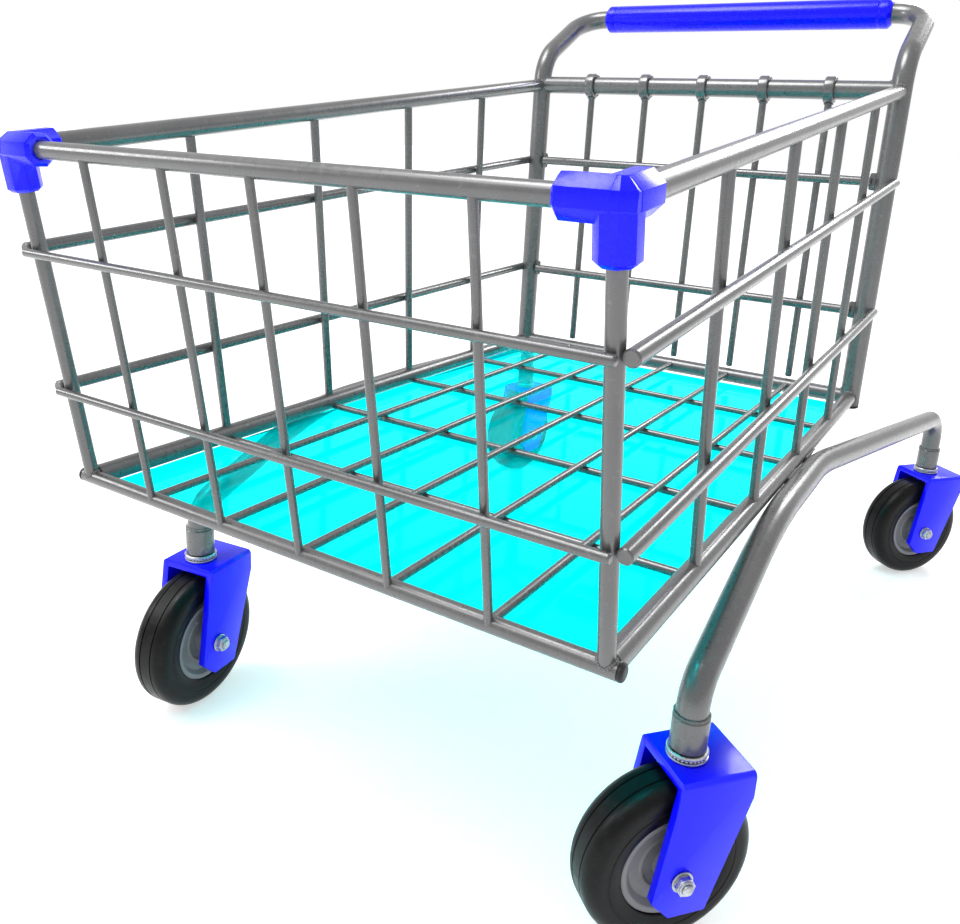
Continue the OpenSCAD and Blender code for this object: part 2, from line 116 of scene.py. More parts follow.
class Board:
    """One material's node tree, with short ways to add what the finishes use."""

    MIX_FIRST, MIX_SECOND, MIX_RESULT = 6, 7, 2  # the colour sockets of a mix node

    def __init__(self, name: str) -> None:
        """Start a material with a Principled shader.

        Args:
            name: The material's name.
        """
        self.material = bpy.data.materials.new(name)
        self.material.use_nodes = True
        self.tree = self.material.node_tree
        self.shader = self.tree.nodes["Principled BSDF"]
        self.place = self.tree.nodes.new("ShaderNodeTexCoord").outputs["Object"]

    def add(self, kind: str, inputs: dict | None = None, **settings: object) -> bpy.types.Node:
        """Add a node to the material's tree."""
        return new_node(self.tree, kind, inputs or {}, settings)

    def noise(self, grain: float, detail: float = 3.0,
              stretch: Colour = (1, 1, 1)) -> Socket:
        """Add a noise pattern.

        Args:
            grain: The size of the pattern's blotches in metres.
            detail: How many finer layers it has.
            stretch: How much longer the blotches are along each axis.

        Returns:
            The pattern's value socket.
        """
        spread = tuple(1 / s for s in stretch)
        placed = self.add("ShaderNodeMapping", {"Vector": self.place, "Scale": spread})
        pattern = self.add(
            "ShaderNodeTexNoise",
            {"Vector": placed.outputs[0], "Scale": 1 / grain, "Detail": detail},
        )
        return pattern.outputs[0]

    def remap(self, value: Socket, low: float, high: float,
              start: float = 0.35, end: float = 0.65) -> Socket:
        """Spread a pattern's middle range over new values.

        Args:
            value: The pattern.
            low: The value where the pattern is at start.
            high: The value where the pattern is at end.
            start: The pattern's low end.
            end: The pattern's high end.

        Returns:
            The new value's socket.
        """
        node = self.add(
            "ShaderNodeMapRange",
            {"Value": value, "From Min": start, "From Max": end, "To Min": low, "To Max": high},
        )
        return node.outputs["Result"]

    def blend(self, share: Socket, first: Colour | Socket,
              second: Colour | Socket) -> Socket:
        """Mix two colours, or a colour and a colour socket, by a share."""
        ends = {
            place: (*colour, 1) if isinstance(colour, tuple) else colour
            for place, colour in ((self.MIX_FIRST, first), (self.MIX_SECOND, second))
        }
        node = self.add("ShaderNodeMix", {"Factor": share, **ends}, data_type="RGBA")
        return node.outputs[self.MIX_RESULT]

    def edges(self, start: float = 0.52, end: float = 0.62) -> Socket:
        """Return a share that rises to 1 on the outward edges of a piece, where the finishes paint
        a highlight.
        """
        sharpness = self.add("ShaderNodeNewGeometry").outputs["Pointiness"]
        return self.remap(sharpness, 0, 1, start, end)

    def relief(self, heights: Sequence[tuple[Socket, float]]) -> None:
        """Give the surface a fine relief.

        Args:
            heights: Patterns, each with the depth in metres of its relief.
        """
        normal = None
        for height, depth in heights:
            inputs = {"Height": height, "Distance": depth, "Strength": 1.0}
            if normal is not None:
                inputs["Normal"] = normal
            normal = self.add("ShaderNodeBump", inputs).outputs["Normal"]
        self.tree.links.new(normal, self.shader.inputs["Normal"])

    def shade(self, **values: object) -> None:
        """Set the shader's inputs; an underscore in a name stands for a space."""
        for key, value in values.items():
            socket = self.shader.inputs[key.replace("_", " ")]
            if isinstance(value, Socket):
                self.tree.links.new(value, socket)
            elif isinstance(value, tuple) and len(value) == 3:
                socket.default_value = (*value, 1)
            else:
                socket.default_value = value


@dataclass(frozen=True)
class PaintedSteel:
    """Silver-grey lacquer over bent tube, with a fine flake and an orange-peel skin."""

    name: str
    colour: Colour
    dull: Colour
    metallic: float = 0.5
    roughness: float = 0.3
    coat: float = 0.3
    blotch: float = 90 * MM
    flake: float = 0.7 * MM
    peel: float = 2.4 * MM
    worn: Colour = (0.3, 0.3, 0.31)

    def material(self) -> bpy.types.Material:
        """Build the material."""
        board = Board(self.name)
        blotches = board.noise(self.blotch, 4)
        body = board.blend(board.remap(blotches, 0, 1), self.dull, self.colour)
        scuffs = board.noise(6 * MM, 5)
        rubbed = board.blend(board.remap(scuffs, 0, 0.25, 0.62, 0.75), body, self.worn)
        board.shade(
            Base_Color=rubbed,
            Metallic=self.metallic,
            Roughness=board.remap(scuffs, self.roughness - 0.04, self.roughness + 0.06),
            Coat_Weight=self.coat,
            Coat_Roughness=0.12,
        )
        board.relief([
            (board.noise(self.peel, 1), 0.01 * MM),
            (board.noise(self.flake, 1), 0.004 * MM),
        ])
        return board.material


@dataclass(frozen=True)
class Plated:
    """Bright zinc plating with a faint cloudiness, dull handling marks and a highlight painted
    along its outward edges.
    """

    name: str
    colour: Colour = (0.55, 0.56, 0.58)
    dull: Colour = (0.3, 0.31, 0.33)
    roughness: float = 0.32

    def material(self) -> bpy.types.Material:
        """Build the material."""
        board = Board(self.name)
        clouds = board.noise(9 * MM, 5)
        marks = board.noise(1.2 * MM, 2, (1, 1, 4))
        colour = board.blend(board.remap(clouds, 0, 1), self.dull, self.colour)
        board.shade(
            # Painted highlight: the plating turns paler grey on the outward edges
            Base_Color=board.blend(board.edges(), colour, (0.7, 0.7, 0.7)),
            Metallic=1.0,
            Roughness=board.remap(marks, self.roughness - 0.07, self.roughness + 0.15),
        )
        board.relief([(marks, 0.01 * MM)])
        return board.material


@dataclass(frozen=True)
class Moulded:
    """Glossy moulded plastic with a faint flow pattern, a fine satin grain and a highlight painted
    along its outward edges.
    """

    name: str
    colour: Colour
    shade: Colour
    # edge is the colour of the highlight painted on the outward edges
    edge: Colour
    roughness: float = 0.24
    coat: float = 0.1
    grain: float = 0.8 * MM
    specular: float = 0.2

    def material(self) -> bpy.types.Material:
        """Build the material."""
        board = Board(self.name)
        flow = board.noise(26 * MM, 3, (1, 2.5, 1))
        body = board.blend(board.remap(flow, 0, 1), self.shade, self.colour)
        scuffs = board.noise(4 * MM, 5)
        board.shade(
            # Painted highlight: the colour turns towards edge on the outward edges
            Base_Color=board.blend(board.edges(0.53, 0.68), body, self.edge),
            Roughness=board.remap(scuffs, self.roughness - 0.03, self.roughness + 0.06),
            Specular_IOR_Level=self.specular,
            Coat_Weight=self.coat,
            Coat_Roughness=0.1,
        )
        board.relief([
            (board.noise(self.grain, 1), 0.005 * MM),
            (board.noise(11 * MM, 2), 0.02 * MM),
        ])
        return board.material


@dataclass(frozen=True)
class TintedSheet:
    """A clear tinted plastic sheet that shows what lies behind it."""

    name: str
    colour: Colour
    deep: Colour
    clearness: float
    ior: float = 1.06

    def material(self) -> bpy.types.Material:
        """Build the material."""
        board = Board(self.name)
        cast = board.noise(120 * MM, 3)
        rubbed = board.noise(14 * MM, 6, (1, 6, 1))
        board.shade(
            Base_Color=board.blend(board.remap(cast, 0, 1), self.deep, self.colour),
            Roughness=board.remap(rubbed, 0.0, 0.03),
            Transmission_Weight=self.clearness,
            IOR=self.ior,
        )
        board.relief([(board.noise(60 * MM, 2), 0.03 * MM)])
        return board.material


@dataclass(frozen=True)
class Rubber:
    """Black rubber, with a fine grain and some dust."""

    name: str
    colour: Colour = (0.002, 0.002, 0.002)
    dust: Colour = (0.012, 0.012, 0.011)

    def material(self) -> bpy.types.Material:
        """Build the material."""
        board = Board(self.name)
        dusty = board.noise(8 * MM, 6)
        grain = board.noise(0.5 * MM, 2)
        board.shade(
            Base_Color=board.blend(board.remap(dusty, 0, 0.55, 0.5, 0.8), self.colour, self.dust),
            Roughness=board.remap(dusty, 0.3, 0.42),
            Specular_IOR_Level=0.18,
        )
        board.relief([(grain, 0.02 * MM), (board.noise(3 * MM, 3), 0.05 * MM)])
        return board.material


@dataclass(frozen=True)
class FloorPaint:
    """The pale matt floor of the studio, lit a little from below like a light table."""

    name: str = "studio_floor"
    colour: Colour = (0.72, 0.72, 0.72)
    shade: Colour = (0.7, 0.7, 0.7)
    glow: float = 0.5

    def material(self) -> bpy.types.Material:
        """Build the material."""
        board = Board(self.name)
        clouds = board.noise(0.9, 4)
        board.shade(
            Base_Color=board.blend(board.remap(clouds, 0, 1), self.shade, self.colour),
            Roughness=0.8,
            Specular_IOR_Level=0.15,
            Emission_Color=(1.0, 1.0, 1.0),
            Emission_Strength=self.glow,
        )
        return board.material


BLUE: Colour = (0.0, 0.0, 0.95)
FINISHES = {
    Slot.FRAME_STEEL: PaintedSteel("painted_tube", (0.13, 0.13, 0.132), (0.108, 0.108, 0.11)),
    Slot.WIRE_STEEL: PaintedSteel(
        "painted_wire", (0.125, 0.125, 0.127), (0.102, 0.102, 0.104), 0.5, 0.27, peel=1.4 * MM
    ),
    # In each moulding the third colour is the highlight painted on its edges
    Slot.BLUE_PLASTIC: Moulded("blue_moulding", BLUE, (0.0, 0.0, 0.8), (0.05, 0.06, 1.0)),
    Slot.BLUE_PAINT: Moulded(
        "blue_enamel", BLUE, (0.0, 0.0, 0.86), (0.05, 0.06, 0.95), 0.2, 0.1, 1.6 * MM
    ),
    Slot.PANEL: TintedSheet("cyan_sheet", (0.0, 0.97, 0.97), (0.0, 0.94, 0.95), 0.82),
    Slot.RUBBER: Rubber("black_rubber"),
    Slot.HUB: Moulded("grey_moulding", (0.2, 0.2, 0.202), (0.17, 0.17, 0.173),
                      (0.42, 0.42, 0.42), 0.36),
    Slot.ZINC: Plated("zinc_plate"),
    Slot.PLUG: Moulded("black_moulding", (0.02, 0.02, 0.021), (0.012, 0.012, 0.012),
                       (0.08, 0.08, 0.08), 0.4),
}
MATERIALS = {slot: finish.material() for slot, finish in FINISHES.items()}


# ---- Shapes ----

SHARP = math.radians(28)  # edges sharper than this are bevelled
NEARLY_STRAIGHT = math.radians(88)  # half the angle at a corner that needs no rounding
MERGE_REACH = 0.5e-6


def unit(v: Vector) -> Vector:
    """Return v at length 1."""
    return v.normalized()


def share_way(a: Vector, b: Vector, share: float) -> Vector:
    """Return the point that lies a share of the way from a to b."""
    return a + (b - a) * share


def corner_arc(a: Vector, b: Vector, c: Vector, radius: float, steps: int) -> list[Vector]:
    """Return the points of an arc that rounds the corner b between a and c.

    Args:
        a: The point before the corner.
        b: The corner.
        c: The point after it.
        radius: The arc's radius, made smaller where the runs beside it are too short.
        steps: How many chords the arc has.

    Returns:
        The points, steps + 1 of them.
    """
    u, w = unit(a - b), unit(c - b)
    half = u.angle(w) / 2
    radius = min(radius, 0.95 * min((a - b).length, (c - b).length) * math.tan(half))
    centre = b + unit(u + w) * radius / math.sin(half)
    first = b + u * radius / math.tan(half) - centre
    last = b + w * radius / math.tan(half) - centre
    turn = math.pi - 2 * half
    return [
        centre + (first * math.sin(turn - t) + last * math.sin(t)) / math.sin(turn)
        for t in (turn * i / steps for i in range(steps + 1))
    ]


def rounded(route: Sequence[Vector], radii: Sequence[float], steps: int) -> list[Vector]:
    """Return a route with an arc at each of its inner corners."""
    points = [route[0]]
    for i, radius in enumerate(radii, 1):
        points += corner_arc(route[i - 1], route[i], route[i + 1], radius, steps)
    return points + [route[-1]]


def softened(profile: Outline, radius: float, steps: int = 3) -> list[tuple[float, float]]:
    """Round every corner of a closed outline.

    Args:
        profile: The outline's corners.
        radius: The rounding, made smaller where an edge is too short for it.
        steps: Chords in each rounding.

    Returns:
        The outline's new points.
    """
    corners = [Vector((x, 0, y)) for x, y in profile]
    result = []
    for i, here in enumerate(corners):
        before, after = corners[i - 1], corners[(i + 1) % len(corners)]
        u, w = before - here, after - here
        half = u.angle(w) / 2
        if half > NEARLY_STRAIGHT:
            result.append((here.x, here.z))
            continue
        room = 0.45 * min(u.length, w.length) * math.tan(half)
        for p in corner_arc(before, here, after, min(radius, room), steps):
            result.append((p.x, p.z))
    return result


def new_mesh(name: str, shape: Shape) -> Piece:
    """Turn a bmesh into an object with its faces pointing outwards."""
    bmesh.ops.remove_doubles(shape, verts=shape.verts, dist=MERGE_REACH)
    bmesh.ops.recalc_face_normals(shape, faces=shape.faces)
    mesh = bpy.data.meshes.new(name)
    shape.to_mesh(mesh)
    shape.free()
    piece = bpy.data.objects.new(name, mesh)
    bpy.context.scene.collection.objects.link(piece)
    return piece


def freeze(piece: Piece) -> Piece:
    """Replace a piece's mesh by what its modifiers make of it, and remove them."""
    bpy.context.view_layer.update()
    evaluated = piece.evaluated_get(bpy.context.evaluated_depsgraph_get())
    mesh = bpy.data.meshes.new_from_object(evaluated)
    piece.modifiers.clear()
    piece.data = mesh
    mesh.name = piece.name
    return piece


def smooth(piece: Piece, angle: float = 32.0) -> Piece:
    """Shade a piece smooth, with creases where its faces meet at more than angle degrees."""
    piece.data.shade_smooth()
    piece.data.set_sharp_from_angle(angle=math.radians(angle))
    return piece


def bevelled(piece: Piece, width: float, segments: int = 3) -> Piece:
    """Round a piece's sharp edges by width."""
    bevel = piece.modifiers.new("edges", "BEVEL")
    bevel.width = width
    bevel.segments = segments
    bevel.limit_method = "ANGLE"
    bevel.angle_limit = SHARP
    bevel.harden_normals = False
    return freeze(piece)


def lathe(shape: Shape, profile: Outline, place: Matrix, steps: int = 72) -> None:
    """Add a turned ring or solid to a bmesh.

    Args:
        shape: The bmesh that gets the turned faces.
        profile: A closed outline of (radius, height) corners, going round once.
        place: Where the turning axis, local Z, goes.
        steps: How many faces go round.
    """
    rings = []
    for i in range(steps):
        turn = 2 * math.pi * i / steps
        ring = [
            shape.verts.new(place @ Vector((r * math.cos(turn), r * math.sin(turn), h)))
            for r, h in profile
        ]
        rings.append(ring)
    count = len(profile)
    for i in range(steps):
        near, far = rings[i], rings[(i + 1) % steps]
        for k in range(count):
            n = (k + 1) % count
            if profile[k][0] or profile[n][0]:
                shape.faces.new((near[k], far[k], far[n], near[n]))


def prism(shape: Shape, outline: Outline, low: float, high: float,
          place: Matrix) -> None:
    """Add an extruded outline to a bmesh.

    Args:
        shape: The bmesh that gets the prism.
        outline: Corners in local X and Y.
        low: The local Z of its lower face.
        high: The local Z of its upper face.
        place: Where the local axes go.
    """
    foot = [shape.verts.new(place @ Vector((x, y, low))) for x, y in outline]
    head = [shape.verts.new(place @ Vector((x, y, high))) for x, y in outline]
    shape.faces.new(foot)
    shape.faces.new(head)
    for k in range(len(outline)):
        n = (k + 1) % len(outline)
        shape.faces.new((foot[k], foot[n], head[n], head[k]))


def extruded(name: str, outline: Outline, low: float, high: float,
             place: Matrix) -> Piece:
    """Make an object from one extruded outline."""
    shape = bmesh.new()
    prism(shape, outline, low, high, place)
    return new_mesh(name, shape)


def combine(piece: Piece, other: Piece, operation: str) -> None:
    """Join another solid to a piece, cut it away or keep what both share, and remove it."""
    change = piece.modifiers.new("combine", "BOOLEAN")
    change.operation = operation
    change.solver = "EXACT"
    change.object = other
    freeze(piece)
    bpy.data.objects.remove(other)


def polygon(sides: int, radius: float) -> list[tuple[float, float]]:
    """Return the corners of a regular polygon."""
    angles = (2 * math.pi * i / sides for i in range(sides))
    return [(radius * math.cos(a), radius * math.sin(a)) for a in angles]


def place_along(at: Vector, direction: Vector) -> Matrix:
    """Return the matrix that puts local Z along direction at a point."""
    return Matrix.Translation(at) @ direction.to_track_quat("Z", "Y").to_matrix().to_4x4()


# ---- Geometry Nodes ----


class Tree:
    """A Geometry Nodes tree with named inputs, built socket by socket."""

    def __init__(self, name: str) -> None:
        """Start a tree with a geometry input, a material input and a geometry output."""
        self.group = bpy.data.node_groups.new(name, "GeometryNodeTree")
        face = self.group.interface
        face.new_socket("Geometry", in_out="INPUT", socket_type="NodeSocketGeometry")
        face.new_socket("Geometry", in_out="OUTPUT", socket_type="NodeSocketGeometry")
        face.new_socket("Finish", in_out="INPUT", socket_type="NodeSocketMaterial")
        self.entry = self.group.nodes.new("NodeGroupInput")
        self.exit = self.group.nodes.new("NodeGroupOutput")

    def size(self, name: str, default: float) -> Socket:
        """Add a named number input; a whole default makes it a whole number."""
        kind = "NodeSocketInt" if isinstance(default, int) else "NodeSocketFloat"
        socket = self.group.interface.new_socket(name, in_out="INPUT", socket_type=kind)
        socket.default_value = default
        return self.entry.outputs[name]

    def add(self, kind: str, inputs: dict, **settings: object) -> bpy.types.Node:
        """Add a node with its settings, and set or link its inputs."""
        return new_node(self.group, kind, inputs, settings)

    def close(self, geometry: Socket, is_smooth: bool = True) -> None:
        """End the tree: real meshes, smooth shading and the finish."""
        real = self.add("GeometryNodeRealizeInstances", {"Geometry": geometry})
        shaded = self.add(
            "GeometryNodeSetShadeSmooth", {"Geometry": real.outputs[0], "Shade Smooth": is_smooth}
        )
        dressed = self.add(
            "GeometryNodeSetMaterial",
            {"Geometry": shaded.outputs[0], "Material": self.entry.outputs["Finish"]},
        )
        self.group.links.new(dressed.outputs[0], self.exit.inputs[0])

    def grow(self, name: str, source: bpy.types.Mesh, finish: bpy.types.Material,
             **sizes: float) -> Piece:
        """Run the tree on a mesh and keep the result as a plain mesh.

        Args:
            name: The new piece's name.
            source: The mesh that the tree starts from.
            finish: The material it gets.
            sizes: The named inputs, with an underscore for a space.

        Returns:
            The new piece, with no modifier left.
        """
        piece = bpy.data.objects.new(name, source)
        bpy.context.scene.collection.objects.link(piece)
        modifier = piece.modifiers.new("grow", "NODES")
        modifier.node_group = self.group
        keys = {
            s.name: s.identifier for s in self.group.interface.items_tree if s.in_out == "INPUT"
        }
        modifier[keys["Finish"]] = finish
        for key, value in sizes.items():
            modifier[keys[key.replace("_", " ")]] = value
        return freeze(piece)


def tube_tree() -> Tree:
    """Return the tree that turns edges into round bars, thinner where the taper says so."""
    tree = Tree("round_bars")
    radius = tree.size("Bar Radius", 0.005)
    sides = tree.size("Sides", 24)
    path = tree.add("GeometryNodeMeshToCurve", {"Mesh": tree.entry.outputs["Geometry"]})
    taper = tree.add("GeometryNodeInputNamedAttribute", {"Name": "taper"}, data_type="FLOAT")
    ring = tree.add("GeometryNodeCurvePrimitiveCircle", {"Resolution": sides, "Radius": radius})
    bar = tree.add(
        "GeometryNodeCurveToMesh",
        {"Curve": path.outputs[0], "Profile Curve": ring.outputs[0],
         "Scale": taper.outputs[0], "Fill Caps": True},
    )
    tree.close(bar.outputs[0])
    return tree


def bead_tree() -> Tree:
    """Return the tree that puts a small ball of metal on each vertex, each of its own size."""
    tree = Tree("metal_beads")
    radius = tree.size("Bead Radius", 0.002)
    wobble = tree.size("Wobble", 0.15)
    seed = tree.size("Seed", 7)
    ball = tree.add("GeometryNodeMeshIcoSphere", {"Radius": radius, "Subdivisions": 2})
    least = tree.add("ShaderNodeMath", {0: 1.0, 1: wobble}, operation="SUBTRACT")
    most = tree.add("ShaderNodeMath", {0: 1.0, 1: wobble}, operation="ADD")
    spread = tree.add(
        "FunctionNodeRandomValue",
        {2: least.outputs[0], 3: most.outputs[0], "Seed": seed},
        data_type="FLOAT",
    )
    beads = tree.add(
        "GeometryNodeInstanceOnPoints",
        {"Points": tree.entry.outputs["Geometry"], "Instance": ball.outputs[0],
         "Scale": spread.outputs[1]},
    )
    tree.close(beads.outputs[0])
    return tree


TUBES = tube_tree()
BEADS = bead_tree()
END_TAPER = 0.82


def paths_mesh(name: str, paths: Iterable[Sequence[Vector]], chamfer: float) -> bpy.types.Mesh:
    """Make a mesh of edges for the bars' tree, with a taper at both ends of each path.

    Args:
        name: The mesh's name.
        paths: The bars' centre lines.
        chamfer: The length of the tapered ends.

    Returns:
        The mesh.
    """
    points: list[Vector] = []
    tapers: list[float] = []
    edges: list[tuple[int, int]] = []
    for path in paths:
        head = path[0] + unit(path[1] - path[0]) * chamfer
        tail = path[-1] + unit(path[-2] - path[-1]) * chamfer
        line = [path[0], head, *path[1:-1], tail, path[-1]]
        first = len(points)
        points += line
        tapers += [END_TAPER, *([1.0] * (len(line) - 2)), END_TAPER]
        edges += [(first + i, first + i + 1) for i in range(len(line) - 1)]
    mesh = bpy.data.meshes.new(name)
    mesh.from_pydata(points, edges, [])
    taper = mesh.attributes.new("taper", "FLOAT", "POINT")
    taper.data.foreach_set("value", tapers)
    return mesh


def points_mesh(name: str, points: Sequence[Vector]) -> bpy.types.Mesh:
    """Make a mesh of loose vertices."""
    mesh = bpy.data.meshes.new(name)
    mesh.from_pydata(points, [], [])
    return mesh


# ---- Handing pieces over ----


def hand_over(piece: Piece, body: str, slot: Slot, *nodes: str) -> Piece:
    """Dress a piece and tie it to the frame.

    Args:
        piece: The finished piece, in its place.
        body: The body that it moves with.
        slot: Its finish.
        nodes: The frame's nodes that it stands for.

    Returns:
        The piece.
    """
    piece.data.materials.clear()
    piece.data.materials.append(MATERIALS[slot])
    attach(piece, body)
    if nodes:
        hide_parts(*nodes)
    LOG.info("%s: %d faces, rides on %s", piece.name, len(piece.data.polygons), body)
    return piece


def dress_node(node: str, slot: Slot) -> None:
    """Give a node of the frame that stays in view its finish."""
    thing = frame["nodes"][node]
    for place in thing.material_slots:
        place.link = "OBJECT"
        place.material = MATERIALS[slot]
    LOG.info("%s keeps its own shape", node)


def bars(name: str, body: str, slot: Slot, diameter: float, paths: Iterable[Sequence[Vector]],
         *nodes: str, sides: int = 28, chamfer: float = 0.8 * MM) -> Piece:
    """Make round bars or tubes along paths and hand them over as one piece."""
    piece = TUBES.grow(name, paths_mesh(name, paths, chamfer), MATERIALS[slot],
                       Bar_Radius=diameter / 2, Sides=sides)
    return hand_over(smooth(piece, 24), body, slot, *nodes)


def turned(name: str, body: str, slot: Slot, profile: Outline, places: Sequence[Matrix],
           *nodes: str, steps: int = 72, crease: float = 32.0) -> Piece:
    """Turn an outline at each place and hand the result over as one piece.

    Args:
        name: The piece's name.
        body: The body that it moves with.
        slot: Its finish.
        profile: A closed outline of (radius, height) corners.
        places: Where the turning axis, local Z, goes each time.
        nodes: The frame's nodes that it stands for.
        steps: How many faces go round.
        crease: Degrees above which two faces meet in a crease.

    Returns:
        The piece.
    """
    shape = bmesh.new()
    for place in places:
        lathe(shape, profile, place, steps)
    return hand_over(smooth(new_mesh(name, shape), crease), body, slot, *nodes)


def beads(name: str, body: str, slot: Slot, spots: Sequence[Vector], radius: float,
          wobble: float, seed: int) -> None:
    """Put small balls of metal on the spots and hand them over as one piece."""
    piece = BEADS.grow(name, points_mesh(name, spots), MATERIALS[slot],
                       Bead_Radius=radius, Wobble=wobble, Seed=seed)
    hand_over(piece, body, slot)


# ---- Where the cart's main lines run ----


@dataclass(frozen=True)
class Lines:
    """The basket's corner points and the bars' diameters, read from the frame's boxes."""

    half_w: float
    rear_y: float
    rim_y: float
    floor_y: float
    floor_z: float
    rim_front_z: float
    rim_rear_z: float
    front_rim_d: float
    side_rim_d: float
    rear_rim_d: float
    front_floor_d: float
    side_floor_d: float
    rear_floor_d: float
    post_d: float
    upright_d: float

    @staticmethod
    def read() -> "Lines":
        """Read the lines from the frame."""
        def middle(node: str) -> Vector:
            low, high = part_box(node)
            return (low + high) / 2

        def across(node: str) -> Vector:
            low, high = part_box(node)
            return high - low

        rim, rear_rim = middle("front_rim_rail"), middle("rear_rim_rail")
        foot, side = middle("front_floor_rail"), middle("right_floor_rail")
        return Lines(
            half_w=side.x,
            rear_y=rear_rim.y,
            rim_y=rim.y,
            floor_y=foot.y,
            floor_z=foot.z,
            rim_front_z=rim.z,
            rim_rear_z=rear_rim.z,
            front_rim_d=across("front_rim_rail").z,
            side_rim_d=across("right_rim_rail").x,
            rear_rim_d=across("rear_rim_rail").z,
            front_floor_d=across("front_floor_rail").z,
            side_floor_d=across("right_floor_rail").x,
            rear_floor_d=across("rear_floor_rail").z,
            post_d=across("right_front_post").x,
            upright_d=2 * (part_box("handle_frame")[1].x - side.x),
        )

    def rim_front(self, side: int) -> Vector:
        """Return the basket's front top corner on a side."""
        return Vector((side * self.half_w, self.rim_y, self.rim_front_z))

    def floor_front(self, side: int) -> Vector:
        """Return the basket's front bottom corner on a side."""
        return Vector((side * self.half_w, self.floor_y, self.floor_z))

    def rim_rear(self, side: int) -> Vector:
        """Return the basket's rear top corner on a side."""
        return Vector((side * self.half_w, self.rear_y, self.rim_rear_z))

    def floor_rear(self, side: int) -> Vector:
        """Return the basket's rear bottom corner on a side."""
        return Vector((side * self.half_w, self.rear_y, self.floor_z))


# ---- Welds ----


def saddle(at: Vector, along: Vector, bar_d: float, post: Vector, post_d: float,
           pitch: float = 1.7 * MM) -> list[Vector]:
    """Return the points where a bar's skin meets a round post's skin.

    Args:
        at: Where the two axes cross.
        along: The way that the bar leaves the post.
        bar_d: The bar's diameter.
        post: The post's direction.
        post_d: The post's diameter.
        pitch: The distance between two points.

    Returns:
        The points, going once round the bar.
    """
    a, b = unit(along), unit(post)
    side = unit(a.cross(b))
    up = side.cross(a)
    count = round(math.pi * bar_d / pitch)
    result = []
    for i in range(count):
        turn = 2 * math.pi * i / count
        u = (up * math.cos(turn) + side * math.sin(turn)) * bar_d / 2
        square = 1 - a.dot(b) ** 2
        slope = u.dot(a) - u.dot(b) * a.dot(b)
        rest = u.length_squared - u.dot(b) ** 2 - (post_d / 2) ** 2
        room = slope * slope - square * rest
        reach = (-slope + math.sqrt(max(room, 0))) / square
        result.append(at + a * reach + u)
    return result


def ring(at: Vector, axis: Vector, diameter: float, pitch: float = 1.7 * MM) -> list[Vector]:
    """Return evenly spaced points round an axis."""
    count = round(math.pi * diameter / pitch)
    place = place_along(at, axis)
    return [place @ Vector((x, y, 0)) for x, y in polygon(count, diameter / 2)]


def hidden_end(bar_d: float, post_d: float) -> float:
    """Return how far from a post's axis a bar may end with its whole face inside the post."""
    return 0.8 * math.sqrt(max((post_d ** 2 - bar_d ** 2) / 4, 0))


# ---- Basket ----


@dataclass
class BasketFrame:
    """The rails and posts round the basket, with their welds."""

    lines: Lines
    front_tube_start: float = 12 * MM
    side_tube_start: float = 13 * MM
    post_start: float = 14 * MM
    bead: float = 1.5 * MM

    def build(self) -> None:
        """Make every rail and post, and the welds that join them."""
        self.across()
        for side_name, side in SIDES.items():
            self.side(side_name, side)
        self.welds()

    def across(self) -> None:
        """Make the four bars that run across the cart."""
        at = self.lines
        left, right = at.rim_front(-1), at.rim_front(1)
        start = Vector((self.front_tube_start, 0, 0))
        bars("rim_bar_front", ROOT, Slot.FRAME_STEEL, at.front_rim_d,
             [[left + start, right - start]], "front_rim_rail")
        low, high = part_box("front_floor_rail")
        ends = [Vector((x, at.floor_y, at.floor_z)) for x in (low.x, high.x)]
        bars("floor_bar_front", ROOT, Slot.FRAME_STEEL, at.front_floor_d,
             [ends], "front_floor_rail")
        for name, node, z, d in (
            ("rim_bar_rear", "rear_rim_rail", at.rim_rear_z, at.rear_rim_d),
            ("floor_bar_rear", "rear_floor_rail", at.floor_z, at.rear_floor_d),
        ):
            reach = at.half_w - hidden_end(d, at.upright_d)
            ends = [Vector((x, at.rear_y, z)) for x in (-reach, reach)]
            bars(name, ROOT, Slot.FRAME_STEEL, d, [ends], node)

    def side(self, side_name: str, side: int) -> None:
        """Make one side's rim bar, floor bar and front post."""
        at = self.lines
        rim, rear = at.rim_front(side), at.rim_rear(side)
        start = rim + unit(rear - rim) * self.side_tube_start
        end = rear + unit(rim - rear) * hidden_end(at.side_rim_d, at.upright_d)
        bars(f"rim_bar_{side_name}", ROOT, Slot.FRAME_STEEL, at.side_rim_d,
             [[start, end]], f"{side_name}_rim_rail")
        foot, heel = at.floor_front(side), at.floor_rear(side)
        inside = Vector((0, hidden_end(at.side_floor_d, at.upright_d), 0))
        bars(f"floor_bar_{side_name}", ROOT, Slot.FRAME_STEEL, at.side_floor_d,
             [[foot + Vector((0, at.front_floor_d * 0.3, 0)), heel - inside]],
             f"{side_name}_floor_rail")
        top = rim + unit(foot - rim) * self.post_start
        bars(f"front_post_{side_name}", ROOT, Slot.FRAME_STEEL, at.post_d,
             [[foot, top]], f"{side_name}_front_post")

    def welds(self) -> None:
        """Make the weld beads at the frame's joints."""
        at = self.lines
        points: list[Vector] = []
        for side in SIDES.values():
            inward = Vector((-side, 0, 0))
            rim, rear = at.rim_front(side), at.rim_rear(side)
            foot, heel = at.floor_front(side), at.floor_rear(side)
            for spot, way, bar_d in (
                (rear, rim - rear, at.side_rim_d), (heel, foot - heel, at.side_floor_d),
                (rear, inward, at.rear_rim_d), (heel, inward, at.rear_floor_d),
            ):
                points += saddle(spot, way, bar_d, UP, at.upright_d)
            points += saddle(foot, rim - foot, at.post_d, ACROSS, at.front_floor_d)
        beads("basket_welds", ROOT, Slot.FRAME_STEEL, points, self.bead, 0.12, 3)


